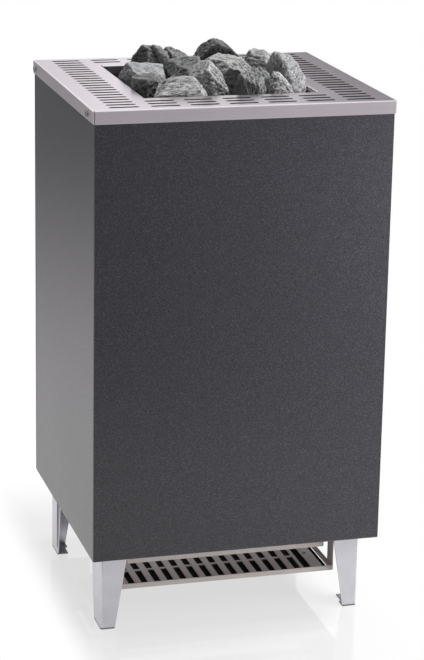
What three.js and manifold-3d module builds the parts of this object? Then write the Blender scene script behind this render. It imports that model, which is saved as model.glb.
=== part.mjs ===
// Floor-standing electric sauna heater: a painted casing on four folded legs, a slotted stainless
// cover with a stone opening, a stone chamber with tubular elements, and a slotted tray underneath.
// Millimetres, +Z up, front towards -Y, origin on the floor under the middle of the cover.

import * as THREE from "three";
import { mergeVertices } from "three/addons/utils/BufferGeometryUtils.js";
import { ConvexGeometry } from "three/addons/geometries/ConvexGeometry.js";
import Module from "manifold-3d";

const wasm = await Module();
wasm.setup();

// Overall sizes
const COVER_WIDTH = 410;
const COVER_DEPTH = 385;
const COVER_TOP = 730;
const BODY_BOTTOM = 112;

// Clearances
const SEAT_GAP = 0.3;
const HOLE_PLAY = 0.4;
const SKIRT_PLAY = 0.5;
const STONE_PLAY = 2;

// Top cover
const COVER_SHEET = 1.5;
const COVER_BEND = 2;
const COVER_SKIRT = 18;
const SIDE_STRIP = 86;
const FRONT_STRIP = 75.5;
const REAR_STRIP = 64.5;
const OPENING_LIP = 12;
const SLOT_WIDTH = 7;
const SLOT_PITCH = 17.4;
const SLOT_OUTER_BORDER = 23.5;
const SLOT_INNER_BORDER = 21.5;
const SLOT_END_BORDER = 18;
const ROW_INNER_BORDER = 16;
const ROW_SLOT_LENGTH = 40.5;
const ROW_SLOT_GAP = 12.1;
const REAR_HOLE_SPREAD = 211;
const REAR_HOLE_INSET = 5;
const REAR_HOLE_RADIUS = 1.8;

// Cover screws, pan head
const SCREW_RADIUS = 2;
const SCREW_LENGTH = 9;
const SCREW_HEAD_RADIUS = 4.25;
const SCREW_HEAD_HEIGHT = 2.6;
const SCREW_RIM_HEIGHT = 1.4;
const SCREW_CROWN_RADIUS = 3.2;
const SCREW_CROWN_HEIGHT = 2.3;
const SCREW_RECESS_LENGTH = 5;
const SCREW_RECESS_WIDTH = 1;
const SCREW_RECESS_DEPTH = 1.2;
const SCREW_DROP = 10;
const FRONT_SCREW_INSET = 36.5;
const REAR_SCREW_INSET = 16;

// Casing panels
const PANEL_SHEET = 1.2;
const PANEL_BEND = 2.5;
const PANEL_FLANGE = 14;
const FOOT_FLANGE_INSET = 11;

// Legs
const LEG_SHEET = 2;
const LEG_BEND = 3;
const LEG_SIDE_INSET = 19.5;
const LEG_END_INSET = 31.5;
const LEG_FACE_WIDTH = 38;
const LEG_FACE_FOOT = 20;
const LEG_SIDE_WIDTH = 60;
const LEG_SIDE_FOOT = 40;
const LEG_RISE = 13;
const FOOT_TAB_DEPTH = 16;
const FOOT_TAB_NOTCH = 4;

// Leg bolts
const BOLT_RADIUS = 2.5;
const BOLT_HEAD_RADIUS = 4.6;
const BOLT_HEAD_HEIGHT = 3;
const BOLT_LENGTH = 9;
const BOLT_RISE = 7;

// Chassis plate and intake frame
const CHASSIS_SHEET = 1.5;
const CHASSIS_RISE = 15.5;
const CHASSIS_FLANGE = 24;
const CHASSIS_CORNER = 4;
const CHASSIS_AIR_BORDER = 9;
const FRAME_SHEET = 1.5;
const FRAME_DROP = 29;
const FRAME_SIDE_MARGIN = 21.7;
const FRAME_END_MARGIN = 14.7;
const FRAME_CORNER = 3;

// Slotted tray and floor reflector
const TRAY_SHEET = 1.5;
const TRAY_BEND = 2;
const TRAY_DROP = 64;
const TRAY_RIM = 7;
const TRAY_SIDE_MARGIN = 12.5;
const TRAY_END_MARGIN = 5;
const TRAY_STRIP_WIDTH = 17;
const TRAY_LONG_SLOT = 10.5;
const TRAY_EDGE_SLOT = 7;
const TRAY_HOLE_RADIUS = 2.5;
const TRAY_HOLE_INSET = 6.5;
const TRAY_HOLE_FRONT = 67;
const TRAY_SLOT_WIDTH = 9.3;
const TRAY_SLOT_LENGTH = 52;
const TRAY_SLOT_PITCH = 18.6;
const TRAY_ROW_PITCH = 57;
const TRAY_SLOT_BORDER = 5;
const TRAY_TAB_WIDTH = 22;
const TRAY_SCREW_RADIUS = 1.5;
const TRAY_SCREW_HEAD_RADIUS = 2.75;
const TRAY_SCREW_HEAD_HEIGHT = 2;
const TRAY_SCREW_LENGTH = 6;
const REFLECTOR_SHEET = 1.2;
const REFLECTOR_DEPTH = 4.6;
const REFLECTOR_INSET = 12;
const REFLECTOR_SIDE_INSET = 4;

// Heat shield, stone chamber and grate
const SHIELD_SHEET = 1.2;
const SHIELD_CORNER = 4;
const SHIELD_TOP_DROP = 30;
const SHIELD_EDGE_INSET = 2;
const CHAMBER_SHEET = 1.5;
const CHAMBER_CORNER = 3;
const LEDGE_WIDTH = 12;
const LEDGE_SHEET = 2;
const STONE_DEPTH = 100;
const GRATE_BAR_WIDTH = 7;
const GRATE_BAR_HEIGHT = 8;
const GRATE_BAR_PITCH = 23;
const GRATE_PLAY = 1;

// Heating elements
const ELEMENT_RADIUS = 4.25;
const ELEMENT_PITCH = 72;
const ELEMENT_BEND = 18;
const ELEMENT_WALL_GAP = 40;
const ELEMENT_GRATE_GAP = 15;
const ELEMENT_LOWER_RISE = 48;
const ELEMENT_UPPER_RISE = 98;
const ELEMENT_HAIRPIN_RISE = 130;
const COLLAR_RADIUS = 7;
const COLLAR_LENGTH = 6;
const PIN_LENGTH = 16;

// Terminal box
const BOX_SHEET = 1.5;
const BOX_SIDE_MARGIN = 23;
const BOX_BASE_GAP = 25;
const BOX_TOP_GAP = 25;
const BOX_OPENING_BORDER = 7;
const LID_SHEET = 1.2;
const LID_BORDER = 8;
const BLOCK_WIDTH = 80;
const BLOCK_DEPTH = 24;
const BLOCK_HEIGHT = 15;
const BLOCK_WALLS = 4;
const BLOCK_WALL_SHEET = 2;
const BLOCK_WALL_HEIGHT = 5;
const BLOCK_REAR_GAP = 5;
const LINK_SHEET = 1.5;
const LINK_HEIGHT = 12;
const LINK_OVERHANG = 9;
const LINK_GAP = 5;
const LEAD_RADIUS = 1.8;
const LEAD_PITCH = 20;
const LEAD_REACH = 8;

// Cable gland
const GLAND_X = 70;
const GLAND_REAR_GAP = 15;
const GLAND_BORE_RADIUS = 5.5;
const GLAND_THREAD_RADIUS = 10;
const GLAND_THREAD_LENGTH = 12;
const GLAND_FLANGE_RADIUS = 13.5;
const GLAND_FLANGE_HEIGHT = 6;
const GLAND_DOME_RADIUS = 12;
const GLAND_DOME_HEIGHT = 12;
const GLAND_NUT_RADIUS = 13;
const GLAND_NUT_HEIGHT = 4;
const CABLE_NOTCH_WIDTH = 32;

// How finely curves are cut up
const BEND_STEPS = 3;
const SLOT_END_STEPS = 3;
const ROUND_SIDES = 12;
const TUBE_SIDES = 8;
const HEXAGON_SIDES = 6;
const LEAD_STEPS = 8;
const OVERLAP = 1;
const MERGE_DISTANCE = 1e-4;

// Faces and levels that several pieces share
const coverX = COVER_WIDTH / 2;
const coverY = COVER_DEPTH / 2;
const coverUnderside = COVER_TOP - COVER_SHEET;
const panelX = coverX - COVER_SHEET - SKIRT_PLAY;
const panelY = coverY - COVER_SHEET - SKIRT_PLAY;
const panelTop = coverUnderside - SEAT_GAP;
const openingX = coverX - SIDE_STRIP;
const openingFront = -coverY + FRONT_STRIP;
const openingRear = coverY - REAR_STRIP;
const screwLevel = COVER_TOP - SCREW_DROP;
const legX = coverX - LEG_SIDE_INSET;
const legY = coverY - LEG_END_INSET;
const chassisTop = BODY_BOTTOM + CHASSIS_RISE;
const chassisX = legX - LEG_SHEET - SEAT_GAP;
const chassisY = legY - LEG_SHEET - SEAT_GAP;
const chassisUnderside = chassisTop - CHASSIS_SHEET;
const boltLevel = BODY_BOTTOM + BOLT_RISE;
const chamberInnerX = openingX + COVER_SHEET + SEAT_GAP;
const chamberInnerFront = openingFront - COVER_SHEET - SEAT_GAP;
const chamberInnerRear = openingRear + COVER_SHEET + SEAT_GAP;
const chamberX = chamberInnerX + CHAMBER_SHEET;
const chamberFront = chamberInnerFront - CHAMBER_SHEET;
const chamberRear = chamberInnerRear + CHAMBER_SHEET;
const chamberBottom = chassisTop + SEAT_GAP;
const grateTop = COVER_TOP - STONE_DEPTH;
const grateUnderside = grateTop - GRATE_BAR_HEIGHT;
const frameX = chamberX + FRAME_SIDE_MARGIN;
const frameFront = chamberFront - FRAME_END_MARGIN;
const frameRear = chamberRear + FRAME_END_MARGIN;
const trayX = frameX + TRAY_SIDE_MARGIN;
const trayFront = frameFront - TRAY_END_MARGIN;
const trayRear = frameRear + TRAY_END_MARGIN;
const trayUnderside = BODY_BOTTOM - TRAY_DROP;
const trayTabTop = chassisUnderside - SEAT_GAP;
const trayScrewX = (frameX + trayX - TRAY_SHEET) / 2;
const lowerPinLevel = chassisTop + ELEMENT_LOWER_RISE;
const upperPinLevel = chassisTop + ELEMENT_UPPER_RISE;
const elementX = [-ELEMENT_PITCH, 0, ELEMENT_PITCH];
const boxX = ELEMENT_PITCH + BOX_SIDE_MARGIN;
const boxBottom = lowerPinLevel - BOX_BASE_GAP;
const boxTop = upperPinLevel + BOX_TOP_GAP;
const boxFront = chamberRear + SEAT_GAP;
const boxRear = panelY - PANEL_SHEET - SEAT_GAP;
const boxFloor = boxBottom + BOX_SHEET;
const pinEnd = boxFront + BOX_SHEET + PIN_LENGTH;
const blockRear = boxRear - BLOCK_REAR_GAP;
const blockTop = boxFloor + SEAT_GAP + BLOCK_HEIGHT;
const glandY = boxRear - GLAND_REAR_GAP;

const point = (u, v) => new THREE.Vector2(u, v);

// Solids from closed geometries, and back

function solidOf(geometry) {
  const bare = new THREE.BufferGeometry();
  const source = geometry.index ? geometry.toNonIndexed() : geometry;
  bare.setAttribute("position", source.attributes.position.clone());
  const merged = mergeVertices(bare, MERGE_DISTANCE);
  const mesh = new wasm.Mesh({
    numProp: 3,
    vertProperties: new Float32Array(merged.attributes.position.array),
    triVerts: new Uint32Array(merged.index.array),
  });
  return new wasm.Manifold(mesh);
}

function geometryOf(solid) {
  const mesh = solid.getMesh();
  const geometry = new THREE.BufferGeometry();
  geometry.setAttribute("position", new THREE.BufferAttribute(mesh.vertProperties, 3));
  geometry.setIndex(new THREE.BufferAttribute(mesh.triVerts, 1));
  geometry.computeVertexNormals();
  return geometry;
}

function joined(...geometries) {
  return geometryOf(geometries.map(solidOf).reduce((whole, next) => whole.add(next)));
}

function cut(geometry, ...tools) {
  return geometryOf(tools.map(solidOf).reduce((rest, tool) => rest.subtract(tool), solidOf(geometry)));
}

// Basic shapes

function box(x0, x1, y0, y1, z0, z1) {
  const geometry = new THREE.BoxGeometry(x1 - x0, y1 - y0, z1 - z0);
  return geometry.translate((x0 + x1) / 2, (y0 + y1) / 2, (z0 + z1) / 2);
}

function extruded(outline, length) {
  return new THREE.ExtrudeGeometry(outline, { depth: length, bevelEnabled: false });
}

// An outline drawn in (x, y), pushed along Z
function alongZ(outline, from, to) {
  return extruded(outline, to - from).translate(0, 0, from);
}

// An outline drawn in (y, z), pushed along X
function alongX(outline, from, to) {
  const axes = new THREE.Matrix4().makeBasis(
    new THREE.Vector3(0, 1, 0),
    new THREE.Vector3(0, 0, 1),
    new THREE.Vector3(1, 0, 0),
  );
  return extruded(outline, to - from).applyMatrix4(axes).translate(from, 0, 0);
}

// An outline drawn in (x, z), pushed along Y
function alongY(outline, from, to) {
  const axes = new THREE.Matrix4().makeBasis(
    new THREE.Vector3(1, 0, 0),
    new THREE.Vector3(0, 0, 1),
    new THREE.Vector3(0, -1, 0),
  );
  return extruded(outline, to - from).applyMatrix4(axes).translate(0, to, 0);
}

function circle(radius, sides = ROUND_SIDES, u = 0, v = 0) {
  const corners = [];
  for (let i = 0; i < sides; i += 1) {
    const angle = (2 * Math.PI * (i + 0.5)) / sides;
    corners.push(point(u + radius * Math.cos(angle), v + radius * Math.sin(angle)));
  }
  return corners;
}

function rectangle(u0, u1, v0, v1) {
  return [point(u0, v0), point(u1, v0), point(u1, v1), point(u0, v1)];
}

function roundedRectangle(u0, u1, v0, v1, radius) {
  const corners = [];
  const centres = [
    [u1 - radius, v1 - radius],
    [u0 + radius, v1 - radius],
    [u0 + radius, v0 + radius],
    [u1 - radius, v0 + radius],
  ];
  centres.forEach(([u, v], quarter) => {
    for (let step = 0; step <= BEND_STEPS; step += 1) {
      const angle = (Math.PI / 2) * (quarter + step / BEND_STEPS);
      corners.push(point(u + radius * Math.cos(angle), v + radius * Math.sin(angle)));
    }
  });
  return corners;
}

// A slot with round ends, its length along u
function slot(u, v, length, width) {
  const corners = [];
  const reach = (length - width) / 2;
  for (const side of [1, -1]) {
    for (let step = 0; step <= SLOT_END_STEPS; step += 1) {
      const angle = Math.PI * (step / SLOT_END_STEPS - 0.5) + (side < 0 ? Math.PI : 0);
      const dx = (width / 2) * Math.cos(angle);
      const dy = (width / 2) * Math.sin(angle);
      corners.push(point(u + side * reach + dx, v + dy));
    }
  }
  return corners;
}

// A turned piece round the Z axis: the profile of (radius, height) runs upwards on its outside
function turned(profile, sides = ROUND_SIDES) {
  return new THREE.LatheGeometry(profile, sides).rotateX(Math.PI / 2);
}

function mirrored(geometry, sx, sy) {
  const copy = geometry.index ? geometry.toNonIndexed() : geometry.clone();
  copy.scale(sx, sy, 1);
  if (sx * sy < 0) {
    const position = copy.attributes.position;
    const second = new THREE.Vector3();
    const third = new THREE.Vector3();
    for (let i = 0; i < position.count; i += 3) {
      second.fromBufferAttribute(position, i + 1);
      third.fromBufferAttribute(position, i + 2);
      position.setXYZ(i + 1, third.x, third.y, third.z);
      position.setXYZ(i + 2, second.x, second.y, second.z);
    }
  }
  return copy;
}

// Folded sheet: the corners follow one face, and the sheet lies to the left of that path

function roundedPath(corners, offset, sheet, bend) {
  const heading = (i) => corners[i + 1].clone().sub(corners[i]).normalize();
  const leftOf = (v) => point(-v.y, v.x);
  const last = corners.length - 1;
  const path = [corners[0].clone().addScaledVector(leftOf(heading(0)), offset)];
  for (let i = 1; i < last; i += 1) {
    const arriving = heading(i - 1);
    const leaving = heading(i);
    const turn = Math.atan2(arriving.cross(leaving), arriving.dot(leaving));
    const side = Math.sign(turn);
    const nearRadius = side > 0 ? bend : bend - sheet;
    const spoke = leftOf(arriving).multiplyScalar(-side);
    const setback = nearRadius * Math.tan(Math.abs(turn) / 2);
    const centre = corners[i].clone().addScaledVector(arriving, -setback).addScaledVector(spoke, -nearRadius);
    for (let step = 0; step <= BEND_STEPS; step += 1) {
      const ray = spoke.clone().rotateAround(point(0, 0), (turn * step) / BEND_STEPS);
      path.push(centre.clone().addScaledVector(ray, nearRadius - side * offset));
    }
  }
  path.push(corners[last].clone().addScaledVector(leftOf(heading(last - 1)), offset));
  return path;
}

function foldedSheet(corners, sheet, bend) {
  const nearFace = roundedPath(corners, 0, sheet, bend);
  const farFace = roundedPath(corners, sheet, sheet, bend).reverse();
  return new THREE.Shape([...nearFace, ...farFace]);
}

function tubeOutline(outer, inner) {
  const outline = new THREE.Shape(outer);
  outline.holes.push(new THREE.Path(inner));
  return outline;
}

// Top cover: flat plate inside the bends, four skirts with open corners, four lips round the opening

function coverSlots() {
  const slots = [];
  const sideLength = SIDE_STRIP - SLOT_OUTER_BORDER - SLOT_INNER_BORDER;
  const sideCentre = openingX + SLOT_INNER_BORDER + sideLength / 2;
  const sideGaps = Math.floor((COVER_DEPTH - 2 * SLOT_END_BORDER) / SLOT_PITCH);
  const firstRow = (sideGaps * SLOT_PITCH) / 2;
  for (let i = 0; i <= sideGaps; i += 1) {
    const y = firstRow - i * SLOT_PITCH;
    slots.push(slot(-sideCentre, y, sideLength, SLOT_WIDTH));
    slots.push(slot(sideCentre, y, sideLength, SLOT_WIDTH));
  }
  const span = 2 * (openingX + SLOT_INNER_BORDER);
  const groupPitch = ROW_SLOT_LENGTH + ROW_SLOT_GAP;
  const groups = Math.floor((span - ROW_SLOT_GAP) / groupPitch);
  const rowsIn = (strip) => Math.floor((strip - (coverY - firstRow) - ROW_INNER_BORDER) / SLOT_PITCH) + 1;
  for (let group = 0; group < groups; group += 1) {
    const x = (group - (groups - 1) / 2) * groupPitch;
    for (let row = 0; row < rowsIn(FRONT_STRIP); row += 1) {
      slots.push(slot(x, -firstRow + row * SLOT_PITCH, ROW_SLOT_LENGTH, SLOT_WIDTH));
    }
    for (let row = 0; row < rowsIn(REAR_STRIP); row += 1) {
      slots.push(slot(x, firstRow - row * SLOT_PITCH, ROW_SLOT_LENGTH, SLOT_WIDTH));
    }
  }
  return slots;
}

function skirt(edge, length) {
  const corners = [
    point(-edge + COVER_BEND + OVERLAP, COVER_TOP),
    point(-edge, COVER_TOP),
    point(-edge, COVER_TOP - COVER_SKIRT),
  ];
  return [foldedSheet(corners, COVER_SHEET, COVER_BEND), length / 2 - COVER_BEND];
}

// The lip on the side of the opening at -edge
function openingLip(edge) {
  const corners = [
    point(-edge, COVER_TOP - OPENING_LIP),
    point(-edge, COVER_TOP),
    point(-edge - COVER_BEND - OVERLAP, COVER_TOP),
  ];
  return foldedSheet(corners, COVER_SHEET, COVER_BEND);
}

function coverScrewPlaces() {
  return [
    ["front_left", -1, -coverY + FRONT_SCREW_INSET],
    ["front_right", 1, -coverY + FRONT_SCREW_INSET],
    ["rear_left", -1, coverY - REAR_SCREW_INSET],
    ["rear_right", 1, coverY - REAR_SCREW_INSET],
  ];
}

function topCover() {
  const flatX = coverX - COVER_BEND;
  const flatY = coverY - COVER_BEND;
  const plate = new THREE.Shape(rectangle(-flatX, flatX, -flatY, flatY));
  const holeFront = openingFront - COVER_BEND;
  const holeRear = openingRear + COVER_BEND;
  const holeX = openingX + COVER_BEND;
  plate.holes.push(new THREE.Path(rectangle(-holeX, holeX, holeFront, holeRear)));
  coverSlots().forEach((corners) => plate.holes.push(new THREE.Path(corners)));
  for (const side of [-1, 1]) {
    const x = (side * REAR_HOLE_SPREAD) / 2;
    plate.holes.push(new THREE.Path(circle(REAR_HOLE_RADIUS, TUBE_SIDES, x, coverY - REAR_HOLE_INSET)));
  }
  const [frontSkirt, frontReach] = skirt(coverY, COVER_WIDTH);
  const [sideSkirt, sideReach] = skirt(coverX, COVER_DEPTH);
  const front = alongX(frontSkirt, -frontReach, frontReach);
  const left = alongY(sideSkirt, -sideReach, sideReach);
  const lipLeft = alongY(openingLip(openingX), openingFront + OVERLAP, openingRear - OVERLAP);
  const lipReach = openingX - OVERLAP;
  const lipFront = alongX(openingLip(-openingFront), -lipReach, lipReach);
  const lipRear = mirrored(alongX(openingLip(openingRear), -lipReach, lipReach), 1, -1);
  const whole = joined(
    alongZ(plate, coverUnderside, COVER_TOP),
    front,
    mirrored(front, 1, -1),
    left,
    mirrored(left, -1, 1),
    lipLeft,
    mirrored(lipLeft, -1, 1),
    lipFront,
    lipRear,
  );
  const holes = coverScrewPlaces().map(([, side, y]) => {
    const hole = new THREE.Shape(circle(SCREW_RADIUS + HOLE_PLAY, ROUND_SIDES, y, screwLevel));
    const outside = side * (coverX + OVERLAP);
    const inside = side * (coverX - COVER_SHEET - OVERLAP);
    return alongX(hole, Math.min(inside, outside), Math.max(inside, outside));
  });
  return cut(whole, ...holes);
}

// A pan-head screw with a cross recess, its head on top and the seat of the head at height 0
function coverScrew() {
  const body = turned([
    point(0, -SCREW_LENGTH),
    point(SCREW_RADIUS, -SCREW_LENGTH),
    point(SCREW_RADIUS, 0),
    point(SCREW_HEAD_RADIUS, 0),
    point(SCREW_HEAD_RADIUS, SCREW_RIM_HEIGHT),
    point(SCREW_CROWN_RADIUS, SCREW_CROWN_HEIGHT),
    point(0, SCREW_HEAD_HEIGHT),
  ]);
  const reach = SCREW_RECESS_LENGTH / 2;
  const half = SCREW_RECESS_WIDTH / 2;
  const floor = SCREW_HEAD_HEIGHT - SCREW_RECESS_DEPTH;
  const above = SCREW_HEAD_HEIGHT + OVERLAP;
  const recessX = box(-reach, reach, -half, half, floor, above);
  const recessY = box(-half, half, -reach, reach, floor, above);
  return cut(body, recessX, recessY);
}

// Casing panels

function frontPanel() {
  const flangeEnd = -legY - SEAT_GAP;
  const corners = [point(-panelY, panelTop), point(-panelY, BODY_BOTTOM), point(flangeEnd, BODY_BOTTOM)];
  const sheet = alongX(foldedSheet(corners, PANEL_SHEET, PANEL_BEND), -panelX, panelX);
  const inner = panelX - PANEL_FLANGE - SKIRT_PLAY;
  const backFace = -panelY + PANEL_SHEET;
  const low = BODY_BOTTOM - OVERLAP;
  const high = BODY_BOTTOM + PANEL_BEND + OVERLAP;
  const rightEnd = box(inner, panelX + OVERLAP, backFace, flangeEnd + OVERLAP, low, high);
  return cut(sheet, rightEnd, mirrored(rightEnd, -1, 1));
}

function leftPanel() {
  const fold = panelY - PANEL_SHEET - SEAT_GAP;
  const corners = [
    point(-panelX + PANEL_FLANGE, fold),
    point(-panelX, fold),
    point(-panelX, -fold),
    point(-panelX + PANEL_FLANGE, -fold),
  ];
  const sheet = alongZ(foldedSheet(corners, PANEL_SHEET, PANEL_BEND), BODY_BOTTOM, panelTop);
  const flangeReach = legY - FOOT_FLANGE_INSET;
  const flange = box(
    -panelX + PANEL_SHEET / 2,
    -legX - SEAT_GAP,
    -flangeReach,
    flangeReach,
    BODY_BOTTOM,
    BODY_BOTTOM + PANEL_SHEET,
  );
  const notchHalf = SCREW_RADIUS + HOLE_PLAY;
  const notches = coverScrewPlaces()
    .filter(([, screwSide]) => screwSide < 0)
    .map(([, , y]) =>
      box(
        -panelX - OVERLAP,
        -panelX + PANEL_SHEET + OVERLAP,
        y - notchHalf,
        y + notchHalf,
        screwLevel - notchHalf,
        panelTop + OVERLAP,
      ),
    );
  return cut(joined(sheet, flange), ...notches);
}

function rearPanel() {
  const accessX = boxX - BOX_OPENING_BORDER;
  const access = box(
    -accessX,
    accessX,
    panelY - PANEL_SHEET - OVERLAP,
    panelY + OVERLAP,
    boxBottom + BOX_OPENING_BORDER,
    boxTop - BOX_OPENING_BORDER,
  );
  const cableNotch = box(
    GLAND_X - CABLE_NOTCH_WIDTH / 2,
    GLAND_X + CABLE_NOTCH_WIDTH / 2,
    legY,
    panelY - PANEL_BEND,
    BODY_BOTTOM - OVERLAP,
    BODY_BOTTOM + PANEL_BEND,
  );
  return cut(mirrored(frontPanel(), 1, -1), access, cableNotch);
}

// Leg: a folded angle with its outer corner on the Z axis, trimmed to a taper below the casing,
// with two foot tabs

function leg() {
  const corners = [point(0, LEG_SIDE_WIDTH), point(0, 0), point(LEG_FACE_WIDTH, 0)];
  const angle = alongZ(foldedSheet(corners, LEG_SHEET, LEG_BEND), 0, BODY_BOTTOM + LEG_RISE);
  const taper = (width, foot) =>
    new THREE.Shape([
      point(width, BODY_BOTTOM),
      point(foot, 0),
      point(foot, -OVERLAP),
      point(2 * width, -OVERLAP),
      point(2 * width, BODY_BOTTOM),
    ]);
  const inside = LEG_SHEET + OVERLAP;
  const trimmed = cut(
    angle,
    alongY(taper(LEG_FACE_WIDTH, LEG_FACE_FOOT), -OVERLAP, inside),
    alongX(taper(LEG_SIDE_WIDTH, LEG_SIDE_FOOT), -OVERLAP, inside),
    boltHole(LEG_FACE_WIDTH / 2, 0, LEG_SHEET),
  );
  const middle = LEG_SHEET / 2;
  const sideStart = FOOT_TAB_DEPTH + FOOT_TAB_NOTCH;
  const faceTab = box(LEG_BEND, LEG_FACE_FOOT, middle, FOOT_TAB_DEPTH, 0, LEG_SHEET);
  const sideTab = box(middle, FOOT_TAB_DEPTH, sideStart, LEG_SIDE_FOOT, 0, LEG_SHEET);
  return joined(trimmed, faceTab, sideTab);
}

// A clearance hole along Y through a sheet whose outer face is at y
function boltHole(x, y, sheet) {
  const outline = new THREE.Shape(circle(BOLT_RADIUS + HOLE_PLAY, ROUND_SIDES, x, boltLevel));
  return alongY(outline, y - OVERLAP, y + sheet + OVERLAP);
}

// A hexagon bolt along Y with the seat of its head at 0
function legBolt() {
  const shank = alongY(new THREE.Shape(circle(BOLT_RADIUS)), -OVERLAP, BOLT_LENGTH);
  const head = alongY(new THREE.Shape(circle(BOLT_HEAD_RADIUS, HEXAGON_SIDES)), -BOLT_HEAD_HEIGHT, 0);
  return joined(shank, head);
}

// Chassis plate: folded down on four sides, open in the middle for the air

function chassisPlate() {
  const low = chassisTop - CHASSIS_FLANGE;
  const plate = new THREE.Shape(rectangle(-chassisX, chassisX, -chassisY, chassisY));
  const airX = chamberInnerX - CHASSIS_AIR_BORDER;
  const airFront = chamberInnerFront + CHASSIS_AIR_BORDER;
  const airRear = chamberInnerRear - CHASSIS_AIR_BORDER;
  plate.holes.push(new THREE.Path(rectangle(-airX, airX, airFront, airRear)));
  for (const [sideX, , y] of trayTabPlaces()) {
    const x = sideX * trayScrewX;
    plate.holes.push(new THREE.Path(circle(TRAY_SCREW_RADIUS + HOLE_PLAY, TUBE_SIDES, x, y)));
  }
  const flangeX = chassisX - CHASSIS_CORNER;
  const flangeY = chassisY - CHASSIS_CORNER;
  const level = chassisTop - CHASSIS_SHEET / 2;
  const front = box(-flangeX, flangeX, -chassisY, -chassisY + CHASSIS_SHEET, low, level);
  const left = box(-chassisX, -chassisX + CHASSIS_SHEET, -flangeY, flangeY, low, level);
  const whole = joined(
    alongZ(plate, chassisUnderside, chassisTop),
    front,
    mirrored(front, 1, -1),
    left,
    mirrored(left, -1, 1),
  );
  const hole = boltHole(-legX + LEG_FACE_WIDTH / 2, -chassisY, CHASSIS_SHEET);
  return cut(whole, hole, mirrored(hole, -1, 1), mirrored(hole, 1, -1), mirrored(hole, -1, -1));
}

function rectangularTube(x, front, rear, sheet, corner, bottom, top) {
  const outer = roundedRectangle(-x, x, front, rear, corner);
  const inner = roundedRectangle(-x + sheet, x - sheet, front + sheet, rear - sheet, corner - sheet);
  return alongZ(tubeOutline(outer, inner), bottom, top);
}

function intakeFrame() {
  const bottom = BODY_BOTTOM - FRAME_DROP;
  const top = chassisUnderside - SEAT_GAP;
  return rectangularTube(frameX, frameFront, frameRear, FRAME_SHEET, FRAME_CORNER, bottom, top);
}

// Slotted tray: floor with a rim all round and four hanger tabs

function trayTabPlaces() {
  const inset = TRAY_TAB_WIDTH / 2;
  return [
    [-1, "front_left", trayFront + inset],
    [1, "front_right", trayFront + inset],
    [-1, "rear_left", trayRear - inset],
    [1, "rear_right", trayRear - inset],
  ];
}

// Rows of short slots, then a plain strip at the right between two long slots
function traySlots() {
  const slots = [];
  const below = trayUnderside - OVERLAP;
  const above = trayUnderside + TRAY_SHEET + OVERLAP;
  const front = trayFront + TRAY_SLOT_BORDER;
  const rear = trayRear - TRAY_SLOT_BORDER;
  const stripRight = trayX - TRAY_BEND - TRAY_EDGE_SLOT - TRAY_SHEET;
  const stripLeft = stripRight - TRAY_STRIP_WIDTH;
  slots.push(box(stripRight, stripRight + TRAY_EDGE_SLOT, front, rear, below, above));
  slots.push(box(stripLeft - TRAY_LONG_SLOT, stripLeft, front, rear, below, above));
  const from = -trayX + TRAY_BEND + TRAY_SLOT_BORDER;
  const to = stripLeft - TRAY_LONG_SLOT - TRAY_SLOT_BORDER;
  const columns = Math.floor((to - from - TRAY_SLOT_WIDTH) / TRAY_SLOT_PITCH) + 1;
  const rows = Math.floor((rear - front - TRAY_SLOT_LENGTH) / TRAY_ROW_PITCH) + 1;
  for (let column = 0; column < columns; column += 1) {
    const right = to - column * TRAY_SLOT_PITCH;
    for (let row = 0; row < rows; row += 1) {
      const y = front + row * TRAY_ROW_PITCH;
      slots.push(box(right - TRAY_SLOT_WIDTH, right, y, y + TRAY_SLOT_LENGTH, below, above));
    }
  }
  const holeX = stripLeft + TRAY_HOLE_INSET;
  const hole = circle(TRAY_HOLE_RADIUS, TUBE_SIDES, holeX, trayFront + TRAY_HOLE_FRONT);
  slots.push(alongZ(new THREE.Shape(hole), below, above));
  return slots;
}

function intakeTray() {
  const rimTop = trayUnderside + TRAY_RIM;
  const leftHalf = foldedSheet(
    [point(-trayX, rimTop), point(-trayX, trayUnderside), point(OVERLAP, trayUnderside)],
    TRAY_SHEET,
    TRAY_BEND,
  );
  const left = alongY(leftHalf, trayFront, trayRear);
  const lipX = trayX - TRAY_SHEET / 2;
  const frontLip = box(-lipX, lipX, trayFront, trayFront + TRAY_SHEET, trayUnderside, rimTop);
  const rearLip = box(-lipX, lipX, trayRear - TRAY_SHEET, trayRear, trayUnderside, rimTop);
  const tabs = trayTabPlaces().map(([side, , y]) => {
    const inward = frameX + SKIRT_PLAY;
    const tab = foldedSheet(
      [point(trayX, rimTop - OVERLAP), point(trayX, trayTabTop), point(inward, trayTabTop)],
      TRAY_SHEET,
      TRAY_BEND,
    );
    const half = TRAY_TAB_WIDTH / 2;
    return mirrored(alongY(tab, y - half, y + half), side, 1);
  });
  const screwHoles = trayTabPlaces().map(([side, , y]) => {
    const outline = circle(TRAY_SCREW_RADIUS + HOLE_PLAY, TUBE_SIDES, side * trayScrewX, y);
    return alongZ(new THREE.Shape(outline), trayTabTop - TRAY_SHEET - OVERLAP, trayTabTop + OVERLAP);
  });
  const whole = joined(left, mirrored(left, -1, 1), frontLip, rearLip, ...tabs);
  return cut(whole, ...traySlots(), ...screwHoles);
}

// A screw with its head underneath and the seat of the head at 0
function trayScrew() {
  return turned(
    [
      point(0, -TRAY_SCREW_HEAD_HEIGHT),
      point(TRAY_SCREW_HEAD_RADIUS, -TRAY_SCREW_HEAD_HEIGHT),
      point(TRAY_SCREW_HEAD_RADIUS, 0),
      point(TRAY_SCREW_RADIUS, 0),
      point(TRAY_SCREW_RADIUS, TRAY_SCREW_LENGTH),
      point(0, TRAY_SCREW_LENGTH),
    ],
    TUBE_SIDES,
  );
}

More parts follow.
